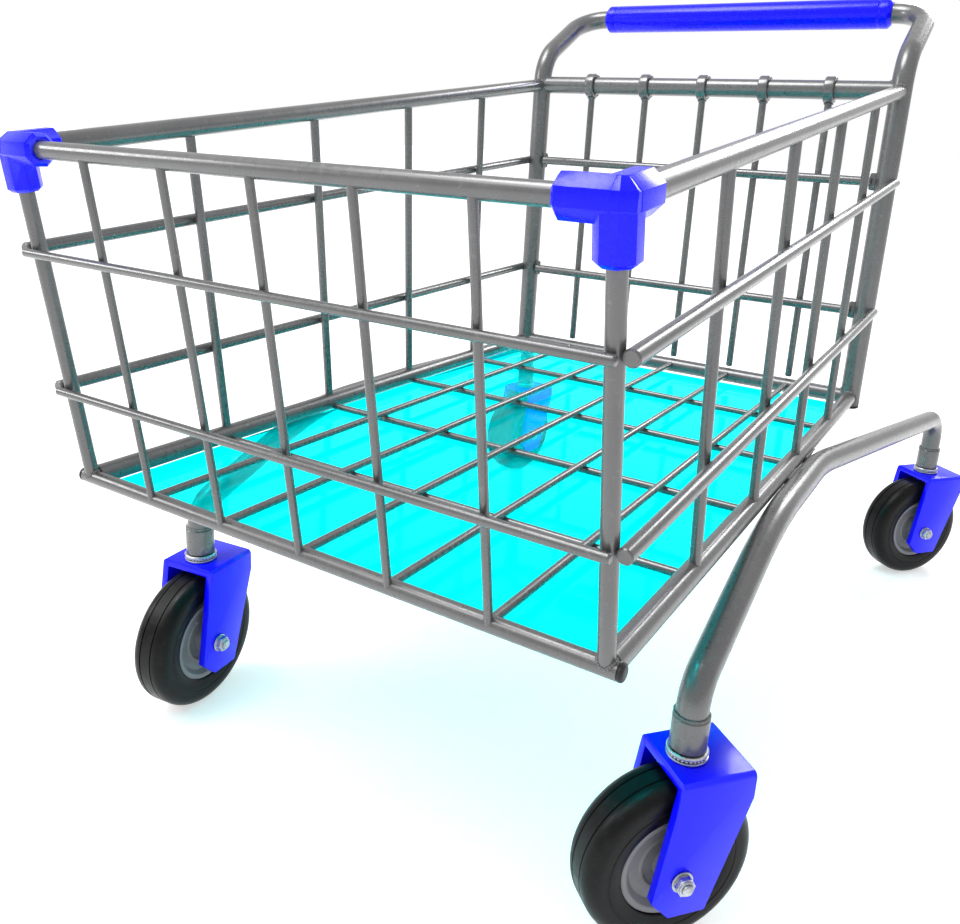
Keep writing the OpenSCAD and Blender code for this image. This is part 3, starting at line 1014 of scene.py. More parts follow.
@dataclass
class CornerFitting:
    """A moulded eight-sided fitting that holds three tubes at a top corner of the front."""

    lines: Lines
    side_name: str
    chamfer: float = 2.8 * MM
    step: float = 0.3 * MM
    gap: float = 0.35 * MM
    edge: float = 0.9 * MM

    def build(self) -> None:
        """Make the fitting: three sleeves and a block, bored for the tubes."""
        at, side = self.lines, SIDES[self.side_name]
        corner = at.rim_front(side)
        low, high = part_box(f"{self.side_name}_corner_fitting")
        self.flat = corner.y - low.y
        self.length = max(corner.x - low.x, high.x - corner.x)
        arms = (
            (at.rim_front(-side), self.flat, at.front_rim_d),
            (at.rim_rear(side), self.flat, at.side_rim_d),
            (at.floor_front(side), self.flat - self.step, at.post_d),
        )
        piece = self.block(corner)
        for to, flat, _ in arms:
            combine(piece, self.sleeve(place_along(corner, to - corner), flat), "UNION")
        for to, _, tube_d in arms:
            combine(piece, self.bore(place_along(corner, to - corner), tube_d), "DIFFERENCE")
        piece.name = f"corner_fitting_{self.side_name}"
        bevelled(piece, self.edge)
        hand_over(smooth(piece, 24), ROOT, Slot.BLUE_PLASTIC, f"{self.side_name}_corner_fitting")

    @staticmethod
    def faceted(name: str, profile: Outline, place: Matrix) -> Piece:
        """Make an eight-sided solid from the distances of its flats and their heights."""
        half = math.pi / 8
        outline = [(r / math.cos(half), h) for r, h in profile]
        shape = bmesh.new()
        lathe(shape, outline, place @ Matrix.Rotation(half, 4, "Z"), 8)
        return new_mesh(name, shape)

    def block(self, corner: Vector) -> Piece:
        """Make the block that the sleeves spring from."""
        flat = self.flat - self.step
        cut = flat * math.tan(math.pi / 8)
        profile = [(0, -flat), (cut, -flat), (flat, -cut), (flat, cut), (cut, flat), (0, flat)]
        return self.faceted("block", profile, Matrix.Translation(corner))

    def sleeve(self, place: Matrix, flat: float) -> Piece:
        """Make one sleeve with a chamfered mouth."""
        mouth = flat - self.chamfer
        profile = [(0, 0), (flat, 0), (flat, self.length - self.chamfer), (mouth, self.length),
                   (0, self.length)]
        return self.faceted("sleeve", profile, place)

    def bore(self, place: Matrix, tube_d: float) -> Piece:
        """Make the space for a tube in a sleeve's mouth."""
        r, depth, far = tube_d / 2 + self.gap, self.length / 2, 2 * self.length
        shape = bmesh.new()
        lathe(shape, [(0, depth), (r, depth), (r, far), (0, far)], place, 48)
        return new_mesh("bore", shape)


@dataclass
class WirePanels:
    """The rods and wires of the basket's front, sides and floor."""

    lines: Lines
    wires_across: int = 5
    wires_along: int = 4
    seat: float = 0.2 * MM
    front_wire_d: float = 7 * MM
    side_wire_d: float = 10 * MM
    floor_wire_d: float = 8 * MM
    bead: float = 2.6 * MM

    def build(self) -> None:
        """Make every rod, wire and crossing weld of the fixed panels."""
        spots: list[Vector] = []
        self.front(spots)
        for side_name, side in SIDES.items():
            self.side(side_name, side, spots)
        self.floor(spots)
        beads("wire_welds", ROOT, Slot.WIRE_STEEL, spots, self.bead, 0.12, 5)

    def columns(self) -> list[float]:
        """Return the places across the cart of the wires of the front, the floor and the gate."""
        count = self.wires_across
        return [2 * self.lines.half_w * ((i + 1) / (count + 1) - 0.5) for i in range(count)]

    def shares(self) -> list[float]:
        """Return how far along each side its wires stand."""
        return [(i + 1) / (self.wires_along + 1) for i in range(self.wires_along)]

    def front(self, spots: list[Vector]) -> None:
        """Make the front's mid rods and wires."""
        at = self.lines
        top, foot = at.rim_front(1), at.floor_front(1)
        lean = unit(foot - top)
        normal = unit(Vector((0, lean.z, -lean.y)))
        low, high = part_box("front_mid_rods")
        rod_d = self.rod_diameter("front_mid_rods")
        out = normal * ((at.post_d + rod_d) / 2 + self.seat)
        gap = normal * (rod_d / 2 + self.seat / 2)
        columns = self.columns()
        posts = [side * at.half_w for side in SIDES.values()]
        rods = []
        for z in (high.z - rod_d / 2, low.z + rod_d / 2):
            share = (top.z + out.z - z) / (top.z - foot.z)
            middle = share_way(top, foot, share) + out
            rods.append([Vector((x, middle.y, middle.z)) for x in (low.x, high.x)])
            spots += [Vector((x, middle.y, middle.z)) - gap for x in columns + posts]
        bars("front_rods", ROOT, Slot.WIRE_STEEL, rod_d, rods, "front_mid_rods",
             sides=20, chamfer=1.2 * MM)
        in_line = normal * (at.post_d - self.front_wire_d) / 2
        wires = [[Vector((x, p.y, p.z)) + in_line for p in (top, foot)] for x in columns]
        bars("front_wire_row", ROOT, Slot.WIRE_STEEL, self.front_wire_d, wires, "front_wires",
             sides=18)

    def rod_diameter(self, node: str) -> float:
        """Return the diameter of a node's rods: their depth at the front, their width at a side."""
        low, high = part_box(node)
        if node != "front_mid_rods":
            return high.x - low.x
        middle = (low.z + high.z) / 2
        upper = [v.co.y for v in frame["nodes"][node].data.vertices if v.co.z > middle]
        return max(upper) - min(upper)

    def side(self, side_name: str, side: int, spots: list[Vector]) -> None:
        """Make one side's mid rods and wires."""
        at = self.lines
        node = f"{side_name}_mid_rods"
        rod_d = self.rod_diameter(node)
        rim, rear = at.rim_front(side), at.rim_rear(side)
        foot, heel = at.floor_front(side), at.floor_rear(side)
        out = Vector((side * ((at.post_d + rod_d) / 2 + self.seat), 0, 0))
        gap = Vector((side * (rod_d / 2 + self.seat / 2), 0, 0))
        overhang = Vector((0, at.post_d / 2, 0))
        rods = []
        for share in self.rod_shares():
            front_end = share_way(rim, foot, share) + out
            rear_end = share_way(rear, heel, share) + out
            rods.append([front_end - overhang, rear_end])
            spots += [share_way(front_end, rear_end, way) - gap for way in self.shares()]
            spots.append(front_end - gap)
        bars(f"{side_name}_rods", ROOT, Slot.WIRE_STEEL, rod_d, rods, node,
             sides=20, chamfer=1.4 * MM)
        in_line = Vector((side * (at.post_d - self.side_wire_d) / 2, 0, 0))
        wires = [
            [share_way(rim, rear, way) + in_line, share_way(foot, heel, way) + in_line]
            for way in self.shares()
        ]
        bars(f"{side_name}_wire_row", ROOT, Slot.WIRE_STEEL, self.side_wire_d, wires,
             f"{side_name}_wires", sides=20)

    def rod_shares(self) -> list[float]:
        """Return the shares of the basket's height at which the mid rods run."""
        low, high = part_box("gate_mid_rods")
        r = (high.y - low.y) / 2
        height = self.lines.rim_rear_z - self.lines.floor_z
        return [(self.lines.rim_rear_z - z) / height for z in (high.z - r, low.z + r)]

    def floor(self, spots: list[Vector]) -> None:
        """Make the floor's two layers of wires."""
        at = self.lines
        d = self.floor_wire_d
        long_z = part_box("floor_long_wires")[1].z - d / 2
        cross_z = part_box("floor_cross_wires")[0].z + d / 2
        columns = self.columns()
        rows = [
            share_way(at.floor_front(1), at.floor_rear(1), way).y for way in self.shares()
        ]
        bars("floor_wires_along", ROOT, Slot.WIRE_STEEL, d,
             [[Vector((x, at.floor_y, long_z)), Vector((x, at.rear_y, long_z))] for x in columns],
             "floor_long_wires", sides=18)
        bars("floor_wires_across", ROOT, Slot.WIRE_STEEL, d,
             [[Vector((-at.half_w, y, cross_z)), Vector((at.half_w, y, cross_z))] for y in rows],
             "floor_cross_wires", sides=18)
        spots += [Vector((x, y, (long_z + cross_z) / 2)) for x in columns for y in rows]


@dataclass
class FloorPanel:
    """The tinted sheet under the floor wires."""

    corner: float = 9 * MM
    edge: float = 0.7 * MM

    def build(self) -> None:
        """Make the sheet with rounded corners and eased edges."""
        low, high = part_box("floor_panel")
        outline = softened(
            [(low.x, low.y), (high.x, low.y), (high.x, high.y), (low.x, high.y)], self.corner, 6
        )
        sheet = extruded("floor_sheet", outline, low.z, high.z, Matrix.Identity(4))
        hand_over(smooth(bevelled(sheet, self.edge, 2), 10), ROOT, Slot.PANEL, "floor_panel")


# ---- Handle ----


@dataclass
class Handle:
    """The bent tube of the rear posts and the handle bar, its grip and the tubes' end caps."""

    lines: Lines
    arm_start: float = 40 * MM
    arm_bend: float = 60 * MM
    bar_bend: float = 45 * MM
    grip_chamfer: float = 5 * MM
    groove_at: float = 16 * MM
    groove_depth: float = 0.7 * MM
    cap_seat: float = 0.2 * MM

    def build(self) -> None:
        """Make the tube, the grip and the caps."""
        at = self.lines
        low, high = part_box("handle_frame")
        d = at.upright_d
        bar_y, bar_z = high.y - d / 2, high.z - d / 2
        foot_z = low.z

        def half(side: int) -> list[Vector]:
            x = side * at.half_w
            return [
                Vector((x, at.rear_y, foot_z)),
                Vector((x, at.rear_y, at.rim_rear_z + self.arm_start)),
                Vector((x, bar_y, bar_z)),
            ]

        route = half(1) + half(-1)[::-1]
        radii = [self.arm_bend, self.bar_bend, self.bar_bend, self.arm_bend]
        bars("handle_tube", ROOT, Slot.FRAME_STEEL, d, [rounded(route, radii, 14)],
             "handle_frame", sides=36)
        self.grip()
        self.caps(foot_z)

    def grip(self) -> None:
        """Make the fat glossy sleeve on the handle bar, with a shallow groove near each end."""
        low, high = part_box("grip")
        centre = (low + high) / 2
        r, length = (high.z - low.z) / 2, high.x - low.x
        bore = self.lines.upright_d / 2 + 0.2 * MM
        c = self.grip_chamfer
        groove, depth = self.groove_at, self.groove_depth
        wall = [
            (bore, 0), (r - c, 0), (r, c), (r, groove), (r - depth, groove + depth),
            (r - depth, groove + 3 * depth), (r, groove + 4 * depth),
        ]
        far = [(radius, length - h) for radius, h in reversed(wall)]
        outline = softened(wall + far, 1.2 * MM, 3)
        place = place_along(Vector((low.x, centre.y, centre.z)), ACROSS)
        turned("handle_grip", ROOT, Slot.BLUE_PLASTIC, outline, [place], "grip",
               steps=96, crease=40)

    def caps(self, post_foot: float) -> None:
        """Make the four end caps, slightly domed."""
        at = self.lines
        low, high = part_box("end_plugs")
        seat_z = post_foot - self.cap_seat
        cap = seat_z - low.z
        shape = bmesh.new()
        for side in SIDES.values():
            foot = Vector((side * at.half_w, at.rear_y, seat_z))
            self.cap(shape, at.upright_d / 2, cap, place_along(foot, -UP))
            end = Vector((side * (high.x - cap), at.floor_y, at.floor_z))
            self.cap(shape, at.front_floor_d / 2, cap, place_along(end, side * ACROSS))
        hand_over(smooth(new_mesh("tube_caps", shape)), ROOT, Slot.PLUG, "end_plugs")

    @staticmethod
    def cap(shape: Shape, r: float, height: float, place: Matrix) -> None:
        """Add one cap with a flange and a crowned face."""
        lip = height * 0.35
        crown = [
            (r * math.cos(a) ** 0.5, lip + (height - lip) * math.sin(a))
            for a in (math.radians(t) for t in range(0, 90, 15))
        ]
        lathe(shape, [(0, 0), (r * 0.98, 0), (r, lip * 0.3), *crown, (0, height)], place, 40)


# ---- Legs ----

LEG_D = 28 * MM


@dataclass
class Leg:
    """A bent tube from a front caster, along under the basket, to a rear caster."""

    side_name: str
    diameter: float = LEG_D
    rise: float = 24 * MM
    run: float = 200 * MM
    flare_back: float = 50 * MM
    rear_rise: float = 52 * MM
    bends: tuple[float, ...] = (45 * MM, 350 * MM, 400 * MM, 42 * MM)

    def build(self) -> None:
        """Make the leg along the route between its two casters."""
        front = caster_foot(f"front_{self.side_name}")
        rear = caster_foot(f"rear_{self.side_name}")
        low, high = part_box(f"{self.side_name}_leg")
        foot_z, run_z = low.z, high.z - self.diameter / 2
        flare_y = (front.y + rear.y) / 2 - self.flare_back
        route = [
            Vector((front.x, front.y, foot_z)),
            Vector((front.x, front.y, foot_z + self.rise)),
            Vector((front.x, front.y + self.run, run_z)),
            Vector((front.x, flare_y, run_z)),
            Vector((rear.x, rear.y, foot_z + self.rear_rise)),
            Vector((rear.x, rear.y, foot_z)),
        ]
        bars(f"leg_tube_{self.side_name}", ROOT, Slot.FRAME_STEEL, self.diameter,
             [rounded(route, self.bends, 18)], f"{self.side_name}_leg", sides=36)


def caster_foot(corner: str) -> Vector:
    """Return the point on the ground under a caster's swivel axis."""
    low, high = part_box(f"{corner}_stud")
    return Vector(((low.x + high.x) / 2, (low.y + high.y) / 2, 0))


@dataclass
class Sockets:
    """The turned sleeves under the legs, the seams round them and the leg's side welds."""

    lines: Lines
    bore: float = 8.05 * MM
    bead: float = 1.6 * MM
    first_stitch: float = 0.27
    last_stitch: float = 0.25
    stitch_starts: tuple[float, ...] = (0.2, 0.62)
    stitch_beads: int = 22
    stitch_pitch: float = 1.9 * MM
    stitch_apart: float = 3.2 * MM

    def build(self) -> None:
        """Make the four sockets and the welds of both legs."""
        low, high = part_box("leg_sockets")
        corners = [caster_foot(corner) for corner in CORNERS]
        radius = high.x - max(c.x for c in corners)
        height = high.z - low.z
        outline = softened(
            [(self.bore, 0), (radius - 1.5 * MM, 0), (radius, 1.5 * MM),
             (radius, height - 2 * MM), (radius - 2 * MM, height), (self.bore, height)],
            0.6 * MM, 2,
        )
        places = [Matrix.Translation(Vector((foot.x, foot.y, low.z))) for foot in corners]
        turned("stud_sockets", ROOT, Slot.FRAME_STEEL, outline, places, "leg_sockets")
        welds: list[Vector] = []
        for foot in corners:
            top = Vector((foot.x, foot.y, high.z + 0.3 * MM))
            welds += ring(top, UP, 2 * radius - 3.4 * MM)
        welds += self.side_welds()
        beads("leg_welds", ROOT, Slot.FRAME_STEEL, welds, self.bead, 0.14, 11)

    def side_welds(self) -> list[Vector]:
        """Return the points of the stitches that join each leg's run to its floor bar."""
        at = self.lines
        points: list[Vector] = []
        for side_name, side in SIDES.items():
            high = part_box(f"{side_name}_leg")[1]
            foot = caster_foot(f"front_{side_name}")
            leg = Vector((foot.x, 0, high.z - LEG_D / 2))
            bar = Vector((side * at.half_w, 0, at.floor_z))
            touch = bar + unit(leg - bar) * at.side_floor_d / 2
            across = unit(leg - bar).cross(Vector((0, 1, 0)))
            first, last = foot.y + self.first_stitch, at.rear_y - self.last_stitch
            for start in self.stitch_starts:
                y0 = share_way(Vector((0, first, 0)), Vector((0, last, 0)), start).y
                for i in range(self.stitch_beads):
                    spot = touch + Vector((0, y0 + i * self.stitch_pitch, 0))
                    points += [spot + across * self.stitch_apart,
                               spot - across * self.stitch_apart]
        return points


# ---- Gate ----


@dataclass
class Gate:
    """The rear gate, which hangs on the rear rim bar and swings up into the basket."""

    lines: Lines
    panels: WirePanels
    wire_d: float = 10 * MM
    loop_w: float = 14 * MM
    loop_wall: float = 5 * MM
    running: float = 0.1 * MM
    bead: float = 1.8 * MM
    tab_h: float = 24 * MM
    tab_reach: float = 7 * MM
    tab_root: float = 0.4

    def build(self) -> None:
        """Make the hanging wires with their loops, the rods, the beads and the stops."""
        at = self.lines
        low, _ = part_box("gate_wires")
        bore = at.rear_rim_d / 2 + self.running
        columns = self.panels.columns()
        wires = [
            [Vector((x, at.rear_y, low.z)), Vector((x, at.rear_y, at.rim_rear_z - bore - 2 * MM))]
            for x in columns
        ]
        bars("gate_wire_row", GATE, Slot.WIRE_STEEL, self.wire_d, wires, "gate_wires",
             sides=20, chamfer=1.5 * MM)
        self.loops(columns, bore)
        self.rods(columns)
        self.stops()

    def loops(self, columns: Sequence[float], bore: float) -> None:
        """Make the loops that hang on the rear rim bar."""
        at = self.lines
        w = self.loop_w / 2
        outline = softened(
            [(bore, -w), (bore + self.loop_wall, -w), (bore + self.loop_wall, w), (bore, w)],
            1.6 * MM, 4,
        )
        places = [place_along(Vector((x, at.rear_y, at.rim_rear_z)), ACROSS) for x in columns]
        turned("gate_loops", GATE, Slot.WIRE_STEEL, outline, places, steps=56, crease=40)

    def rods(self, columns: Sequence[float]) -> None:
        """Make the gate's two mid rods and the beads that join them to the wires."""
        low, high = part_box("gate_mid_rods")
        d = high.y - low.y
        y = (low.y + high.y) / 2
        heights = (high.z - d / 2, low.z + d / 2)
        bars("gate_rods", GATE, Slot.WIRE_STEEL, d,
             [[Vector((low.x, y, z)), Vector((high.x, y, z))] for z in heights],
             "gate_mid_rods", sides=20, chamfer=1.5 * MM)
        spots = [Vector((x, high.y, z)) for x in columns for z in heights]
        foot = self.lines.rim_rear_z - self.lines.rear_rim_d / 2 - self.loop_wall
        spots += [Vector((x + dx, self.lines.rear_y + dy, foot - 0.6 * MM))
                  for x in columns for dx, dy in polygon(12, self.wire_d / 2)]
        beads("gate_welds", GATE, Slot.WIRE_STEEL, spots, self.bead, 0.15, 17)

    def stops(self) -> None:
        """Make the small tabs on the rear posts that the gate's rods rest against."""
        low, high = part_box("gate_stops")
        at = self.lines
        rim, floor = at.rim_rear_z, at.floor_z
        inner = at.half_w - at.upright_d / 2 - self.tab_reach
        outer = at.half_w - at.upright_d * self.tab_root
        upright = Matrix(((1, 0, 0, 0), (0, 0, 1, 0), (0, 1, 0, 0), (0, 0, 0, 1)))
        shape = bmesh.new()
        for side in SIDES.values():
            x0, x1 = sorted((side * inner, side * outer))
            for share in self.panels.rod_shares():
                z = rim + (floor - rim) * share
                z0, z1 = z - self.tab_h / 2, z + self.tab_h / 2
                outline = softened([(x0, z0), (x1, z0), (x1, z1), (x0, z1)], 3 * MM, 4)
                prism(shape, outline, low.y, high.y, upright)
        piece = bevelled(new_mesh("gate_stop_tabs", shape), 0.5 * MM, 2)
        hand_over(smooth(piece), ROOT, Slot.FRAME_STEEL, "gate_stops")


# ---- Casters ----


@dataclass
class Caster:
    """A swivel caster: bearing, fork, axle bolt, nut, hub and tyre."""

    corner: str
    fork_in: float = 28 * MM
    fork_out: float = 36 * MM
    fork_front: float = 22 * MM
    fork_back: float = 46 * MM
    fork_bend: float = 5 * MM
    inner_bend: float = 0.35
    cheek_drop: float = 24 * MM
    cheek_reach: float = 26 * MM
    cheek_foot: float = 36 * MM
    stud_bore: float = 8.1 * MM
    axle_r: float = 5 * MM
    hex_r: float = 8.91 * MM
    washer_t: float = 2 * MM
    bolt_head_h: float = 6 * MM
    nut_h: float = 8 * MM
    seat: float = 0.2 * MM
    boss: float = 15 * MM
    web: float = 14 * MM
    shoulder: float = 14 * MM
    spare: float = 5 * MM

    def __post_init__(self) -> None:
        """Read where the wheel and the swivel axis are."""
        joints = {joint["name"]: joint for joint in frame["joints"]}
        self.axle_line = unit(Vector(joints[f"{self.corner}_spin"]["axis"]))
        low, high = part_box(f"{self.corner}_tyre")
        self.hub_at = (low + high) / 2
        self.wheel_r = (high.z - low.z) / 2
        self.foot = caster_foot(self.corner)
        across = Vector((self.axle_line.x, self.axle_line.y, 0))
        if across.x < 0:
            across = -across
        self.across = unit(across)
        self.back = Vector((-self.across.y, self.across.x, 0))
        self.trail = (self.foot - self.hub_at).dot(self.back)
        self.body = f"{self.corner}_caster"
        self.wheel = f"{self.corner}_wheel"

    def build(self) -> None:
        """Make the whole caster."""
        dress_node(f"{self.corner}_stud", Slot.ZINC)
        self.race()
        self.fork()
        self.bolt()
        self.hub()
        self.tyre()

    def axes(self, x: Vector, y: Vector, z: Vector, at: Vector) -> Matrix:
        """Return the matrix whose local axes are x, y and z at a point."""
        return Matrix.Translation(at) @ Matrix((x, y, z)).transposed().to_4x4()

    def axle_place(self) -> Matrix:
        """Return the matrix that puts local Z along the axle, at the wheel's middle."""
        return self.axes(self.back, UP, self.across, self.hub_at)

    def race(self) -> None:
        """Make the swivel bearing: two dished plates with a ring of balls between them."""
        low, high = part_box(f"{self.corner}_race")
        r = (high.x - low.x) / 2
        h = high.z - low.z
        bore, waist, groove = self.stud_bore, r - 3.2 * MM, 1.3 * MM
        outline = softened(
            [(bore, 0), (r - 1 * MM, 0), (r, 1.2 * MM), (r, h / 2 - groove),
             (waist, h / 2 - groove), (waist, h / 2 + groove), (r, h / 2 + groove),
             (r, h - 1.2 * MM), (r - 1 * MM, h), (bore, h)],
            0.5 * MM, 2,
        )
        place = Matrix.Translation(Vector((self.foot.x, self.foot.y, low.z)))
        turned(f"{self.corner}_bearing", ROOT, Slot.ZINC, outline, [place], f"{self.corner}_race")
        level = Vector((self.foot.x, self.foot.y, low.z + h / 2))
        circle = ring(level, UP, 2 * r - 3.6 * MM, 3.4 * MM)
        beads(f"{self.corner}_balls", ROOT, Slot.ZINC, circle, 1.25 * MM, 0.0, 1)

    def cheek_outline(self, top: float) -> list[tuple[float, float]]:
        """Return the fork's outline seen along the axle, as (back, up) from the swivel axis."""
        axle_z, above = self.hub_at.z, top + 2 * self.spare
        t, reach, foot = self.trail, self.cheek_reach, self.cheek_foot
        return [
            (-self.fork_front, above), (self.fork_back, above),
            (self.fork_back, top - self.cheek_drop), (reach - t, axle_z - foot),
            (-reach / 3 - t, axle_z - foot), (-reach - t, axle_z - foot / 2),
            (-self.fork_front, top),
        ]

    def fork(self) -> None:
        """Make the fork as one bent plate: a crown with a cheek down each side of the wheel."""
        low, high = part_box(f"{self.corner}_fork")
        top, bottom = high.z, low.z
        t = self.fork_out - self.fork_in
        crown = top - t
        bend, inner = self.fork_bend, self.fork_bend * self.inner_bend
        below = bottom - 2 * self.spare

        def bent(x: float, head: float) -> list[Vector]:
            line = ((x, below), (x, head), (-x, head), (-x, below))
            return [Vector((across, 0, up)) for across, up in line]

        section = rounded(bent(-self.fork_out, top), [bend, bend], 5)
        section += rounded(bent(self.fork_in, crown), [inner, inner], 3)
        along = self.axes(self.across, UP, self.back, self.foot)
        beside = self.axes(self.back, UP, self.across, self.foot)
        piece = extruded(
            f"{self.corner}_fork_plate", [(p.x, p.z) for p in section],
            -self.trail - self.cheek_reach - self.spare, self.fork_back + self.spare, along,
        )
        cheeks = extruded(
            "cheeks", softened(self.cheek_outline(top), 2.2 * MM, 3),
            -self.fork_out - self.spare, self.fork_out + self.spare, beside,
        )
        combine(piece, cheeks, "INTERSECT")
        bevelled(piece, 0.9 * MM, 2)
        hand_over(smooth(piece), self.body, Slot.BLUE_PAINT, f"{self.corner}_fork")

    def bolt(self) -> None:
        """Make the axle bolt with its hex head, and the locking nut with its washer."""
        place = self.axle_place()
        r = self.axle_r
        head = self.fork_out + self.seat
        far = self.fork_out + self.washer_t + self.nut_h + 2 * MM
        shape = bmesh.new()
        self.hexagon(shape, self.hex_r, -head - self.bolt_head_h, -head, place)
        lathe(shape, [(0, -head - 0.5 * MM), (r, -head - 0.5 * MM), (r, far - 1 * MM),
                      (r - 1 * MM, far), (0, far)], place, 40)
        hand_over(smooth(bevelled(new_mesh(f"{self.corner}_axle_bolt", shape), 0.5 * MM, 2)),
                  self.body, Slot.ZINC, f"{self.corner}_axle")
        shape = bmesh.new()
        bore = r + 0.05 * MM
        washer = [(bore, 0), (r * 2 - 0.4 * MM, 0), (r * 2, 0.4 * MM),
                  (r * 2, self.washer_t - 0.4 * MM), (r * 2 - 0.4 * MM, self.washer_t),
                  (bore, self.washer_t)]
        lathe(shape, washer, place @ Matrix.Translation(Vector((0, 0, head))), 48)
        start = head + self.washer_t
        self.hexagon(shape, self.hex_r, start, start + self.nut_h * 0.72, place, bore)
        collar = [(bore, start), (r * 1.45, start), (r * 1.45, start + self.nut_h * 0.86),
                  (r * 1.25, start + self.nut_h - 0.5 * MM), (bore, start + self.nut_h - 0.5 * MM)]
        lathe(shape, softened(collar, 0.5 * MM, 2), place, 40)
        hand_over(smooth(bevelled(new_mesh(f"{self.corner}_lock_nut", shape), 0.35 * MM, 2)),
                  self.body, Slot.ZINC, f"{self.corner}_nut")

    @staticmethod
    def hexagon(shape: Shape, corner_r: float, low: float, high: float, place: Matrix,
                bore: float = 0.0) -> None:
        """Add a hexagonal block, with a bore where one is given."""
        rim = polygon(6, corner_r)
        if bore == 0.0:
            prism(shape, rim, low, high, place)
            return
        inner = polygon(6, bore)
        rings = [[shape.verts.new(place @ Vector((x, y, z))) for x, y in line]
                 for line, z in ((rim, low), (rim, high), (inner, high), (inner, low))]
        for k in range(6):
            n = (k + 1) % 6
            for a in range(4):
                b = (a + 1) % 4
                shape.faces.new((rings[a][k], rings[a][n], rings[b][n], rings[b][k]))

    def hub(self) -> None:
        """Make the hub: a boss, a recessed web with a raised ring, and the rim under the tyre."""
        _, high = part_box(f"{self.corner}_hub")
        seat = high.z - self.hub_at.z
        boss_w = self.fork_in - 0.5 * MM
        rim_w = self.wheel_w() / 2 - 3 * MM
        bore = self.axle_r + 0.05 * MM
        web = self.web
        half = [
            (bore, boss_w), (self.boss - 4 * MM, boss_w), (self.boss - 2.5 * MM, boss_w - 1.5 * MM),
            (self.boss, web), (seat * 0.5, web), (seat * 0.5 + 1.2 * MM, web + 1.4 * MM),
            (seat * 0.5 + 3.2 * MM, web + 1.4 * MM), (seat * 0.5 + 4.4 * MM, web),
            (seat - 10 * MM, web), (seat - 6 * MM, rim_w - 0.5 * MM), (seat - 4.5 * MM, rim_w),
            (seat - 1 * MM, rim_w), (seat, rim_w - 1 * MM),
        ]
        outline = softened(half + [(r, -h) for r, h in reversed(half)], 1.0 * MM, 3)
        turned(f"{self.corner}_hub_disc", self.wheel, Slot.HUB, outline, [self.axle_place()],
               f"{self.corner}_hub", steps=96, crease=40)

    def wheel_w(self) -> float:
        """Return the tyre's width."""
        co = [(v.co - self.hub_at).dot(self.across)
              for v in frame["nodes"][f"{self.corner}_tyre"].data.vertices]
        return max(co) - min(co)

    def tyre(self) -> None:
        """Make the tyre with round shoulders, two tread grooves and rings on its walls."""
        _, hub_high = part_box(f"{self.corner}_hub")
        seat = hub_high.z - self.hub_at.z + self.seat
        r, half, s = self.wheel_r, self.wheel_w() / 2, self.shoulder
        groove_d, groove_w = 1.1 * MM, 1.6 * MM
        mid = (seat + r - s) / 2
        at, deep = half - s - 1 * MM, r - groove_d
        tread = [(r, 0), (r, at - groove_w), (deep, at - groove_w * 0.7),
                 (deep, at - groove_w * 0.3), (r, at)]
        arc = [(r - s + s * math.cos(a), half - s + s * math.sin(a))
               for a in (math.radians(t) for t in range(0, 91, 9))]
        wall = [(mid + 4 * MM, half), (mid + 3.4 * MM, half - 0.6 * MM),
                (mid + 2.4 * MM, half - 0.6 * MM), (mid + 1.8 * MM, half),
                (seat + 5 * MM, half), (seat + 3 * MM, half - 0.9 * MM),
                (seat + 1 * MM, half - 1.2 * MM), (seat, half - 2 * MM)]
        upper = tread + arc + wall
        outline = upper + [(radius, -h) for radius, h in reversed(upper[1:])]
        turned(f"{self.corner}_tyre_ring", self.wheel, Slot.RUBBER, outline, [self.axle_place()],
               f"{self.corner}_tyre", steps=120, crease=30)


# ---- Studio ----


def hang(lamp: bpy.types.Light, at: Vector, aim: Vector) -> None:
    """Put a lamp at a point, turned so that it shines at aim."""
    holder = bpy.data.objects.new(lamp.name, lamp)
    holder.location = at
    holder.rotation_euler = (aim - at).to_track_quat("-Z", "Y").to_euler()
    bpy.context.scene.collection.objects.link(holder)


@dataclass(frozen=True)
class Softbox:
    """A square studio light."""

    name: str
    at: tuple[float, float, float]
    size: float
    power: float

    def build(self, aim: Vector) -> None:
        """Place the light so that it shines at aim."""
        lamp = bpy.data.lights.new(self.name, "AREA")
        lamp.size = self.size
        lamp.energy = self.power
        hang(lamp, Vector(self.at), aim)


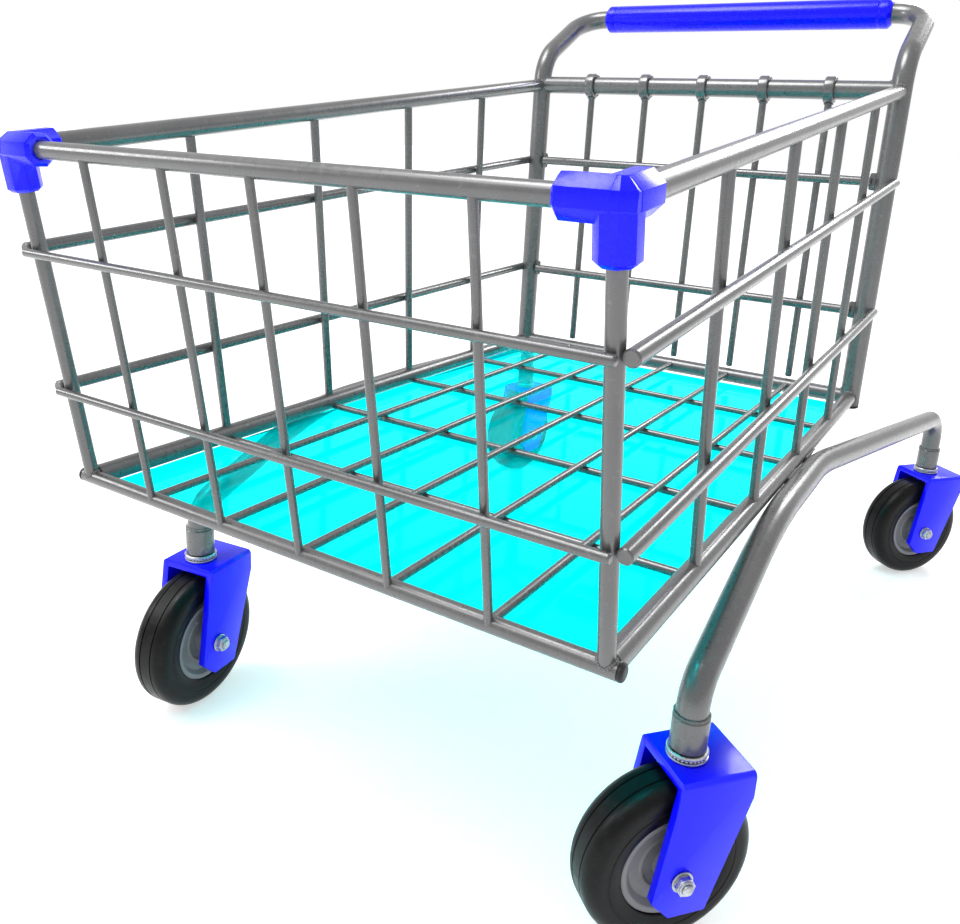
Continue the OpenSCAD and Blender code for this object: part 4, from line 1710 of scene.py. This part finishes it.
@dataclass
class Studio:
    """The pale floor, the bright backdrop and the soft lights."""

    floor_r: float = 60.0
    brightness: float = 1.0
    fill: float = 0.85
    sun_strength: float = 1.4
    sun_angle: float = 40.0
    sun_from: tuple[float, float, float] = (-0.35, -0.35, 0.87)
    boxes: tuple[Softbox, ...] = (
        Softbox("top_light", (-0.75, -0.75, 3.0), 1.1, 40),
        Softbox("back_light", (0.45, 2.6, 2.0), 1.1, 40),
        Softbox("side_light", (-2.4, -1.8, 1.6), 0.8, 20),
    )

    def build(self) -> None:
        """Make the studio."""
        self.world()
        self.sun()
        self.floor()
        for box in self.boxes:
            box.build(Vector((0, 0, 0.4)))
        bpy.context.scene.view_settings.view_transform = "Standard"

    def world(self) -> None:
        """Set a bright backdrop that lights the scene with a dimmer fill from all round."""
        world = bpy.data.worlds.new("studio")
        world.use_nodes = True
        tree = world.node_tree
        sky = tree.nodes["Background"]
        sky.inputs["Color"].default_value = (1, 1, 1, 1)
        path = tree.nodes.new("ShaderNodeLightPath")
        level = tree.nodes.new("ShaderNodeMapRange")
        level.inputs["To Min"].default_value = self.fill
        level.inputs["To Max"].default_value = self.brightness
        tree.links.new(path.outputs["Is Camera Ray"], level.inputs["Value"])
        tree.links.new(level.outputs["Result"], sky.inputs["Strength"])
        bpy.context.scene.world = world

    def sun(self) -> None:
        """Add one wide, soft sun for the cart's gentle shadow."""
        lamp = bpy.data.lights.new("soft_sun", "SUN")
        lamp.energy = self.sun_strength
        lamp.angle = math.radians(self.sun_angle)
        hang(lamp, Vector(self.sun_from), Vector())

    def floor(self) -> None:
        """Lay the floor."""
        shape = bmesh.new()
        bmesh.ops.create_circle(shape, cap_ends=True, segments=96, radius=self.floor_r)
        floor = new_mesh("studio_floor", shape)
        floor.data.materials.append(FloorPaint().material())


@dataclass(frozen=True)
class Viewpoint:
    """The camera, low beside the cart's front right corner; its angles are in degrees."""

    at: tuple[float, float, float] = (0.4696, -1.0404, 0.6648)
    yaw: float = 31.05
    pitch: float = -15.45
    roll: float = 3.1
    lens: float = 33.45
    shift: tuple[float, float] = (-0.0046, -0.0794)

    def build(self) -> None:
        """Make the camera and set it as the scene's."""
        yaw, pitch, roll = (math.radians(a) for a in (self.yaw, self.pitch, self.roll))
        ahead = Vector((-math.sin(yaw) * math.cos(pitch), math.cos(yaw) * math.cos(pitch),
                        math.sin(pitch)))
        level = Vector((math.cos(yaw), math.sin(yaw), 0))
        above = level.cross(ahead)
        right = level * math.cos(roll) + above * math.sin(roll)
        up = above * math.cos(roll) - level * math.sin(roll)
        lens = bpy.data.cameras.new("camera")
        lens.lens = self.lens
        lens.shift_x, lens.shift_y = self.shift
        camera = bpy.data.objects.new("camera", lens)
        turn = Matrix((right, up, -ahead)).transposed().to_4x4()
        camera.matrix_world = Matrix.Translation(Vector(self.at)) @ turn
        bpy.context.scene.collection.objects.link(camera)
        bpy.context.scene.camera = camera


def main() -> None:
    """Build the cart and its studio."""
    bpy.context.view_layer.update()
    lines = Lines.read()
    panels = WirePanels(lines)
    BasketFrame(lines).build()
    for side_name in SIDES:
        CornerFitting(lines, side_name).build()
    panels.build()
    FloorPanel().build()
    Handle(lines).build()
    for side_name in SIDES:
        Leg(side_name).build()
    Sockets(lines).build()
    Gate(lines, panels).build()
    for corner in CORNERS:
        Caster(corner).build()
    Studio().build()
    Viewpoint().build()


if __name__ == "__main__":
    main()
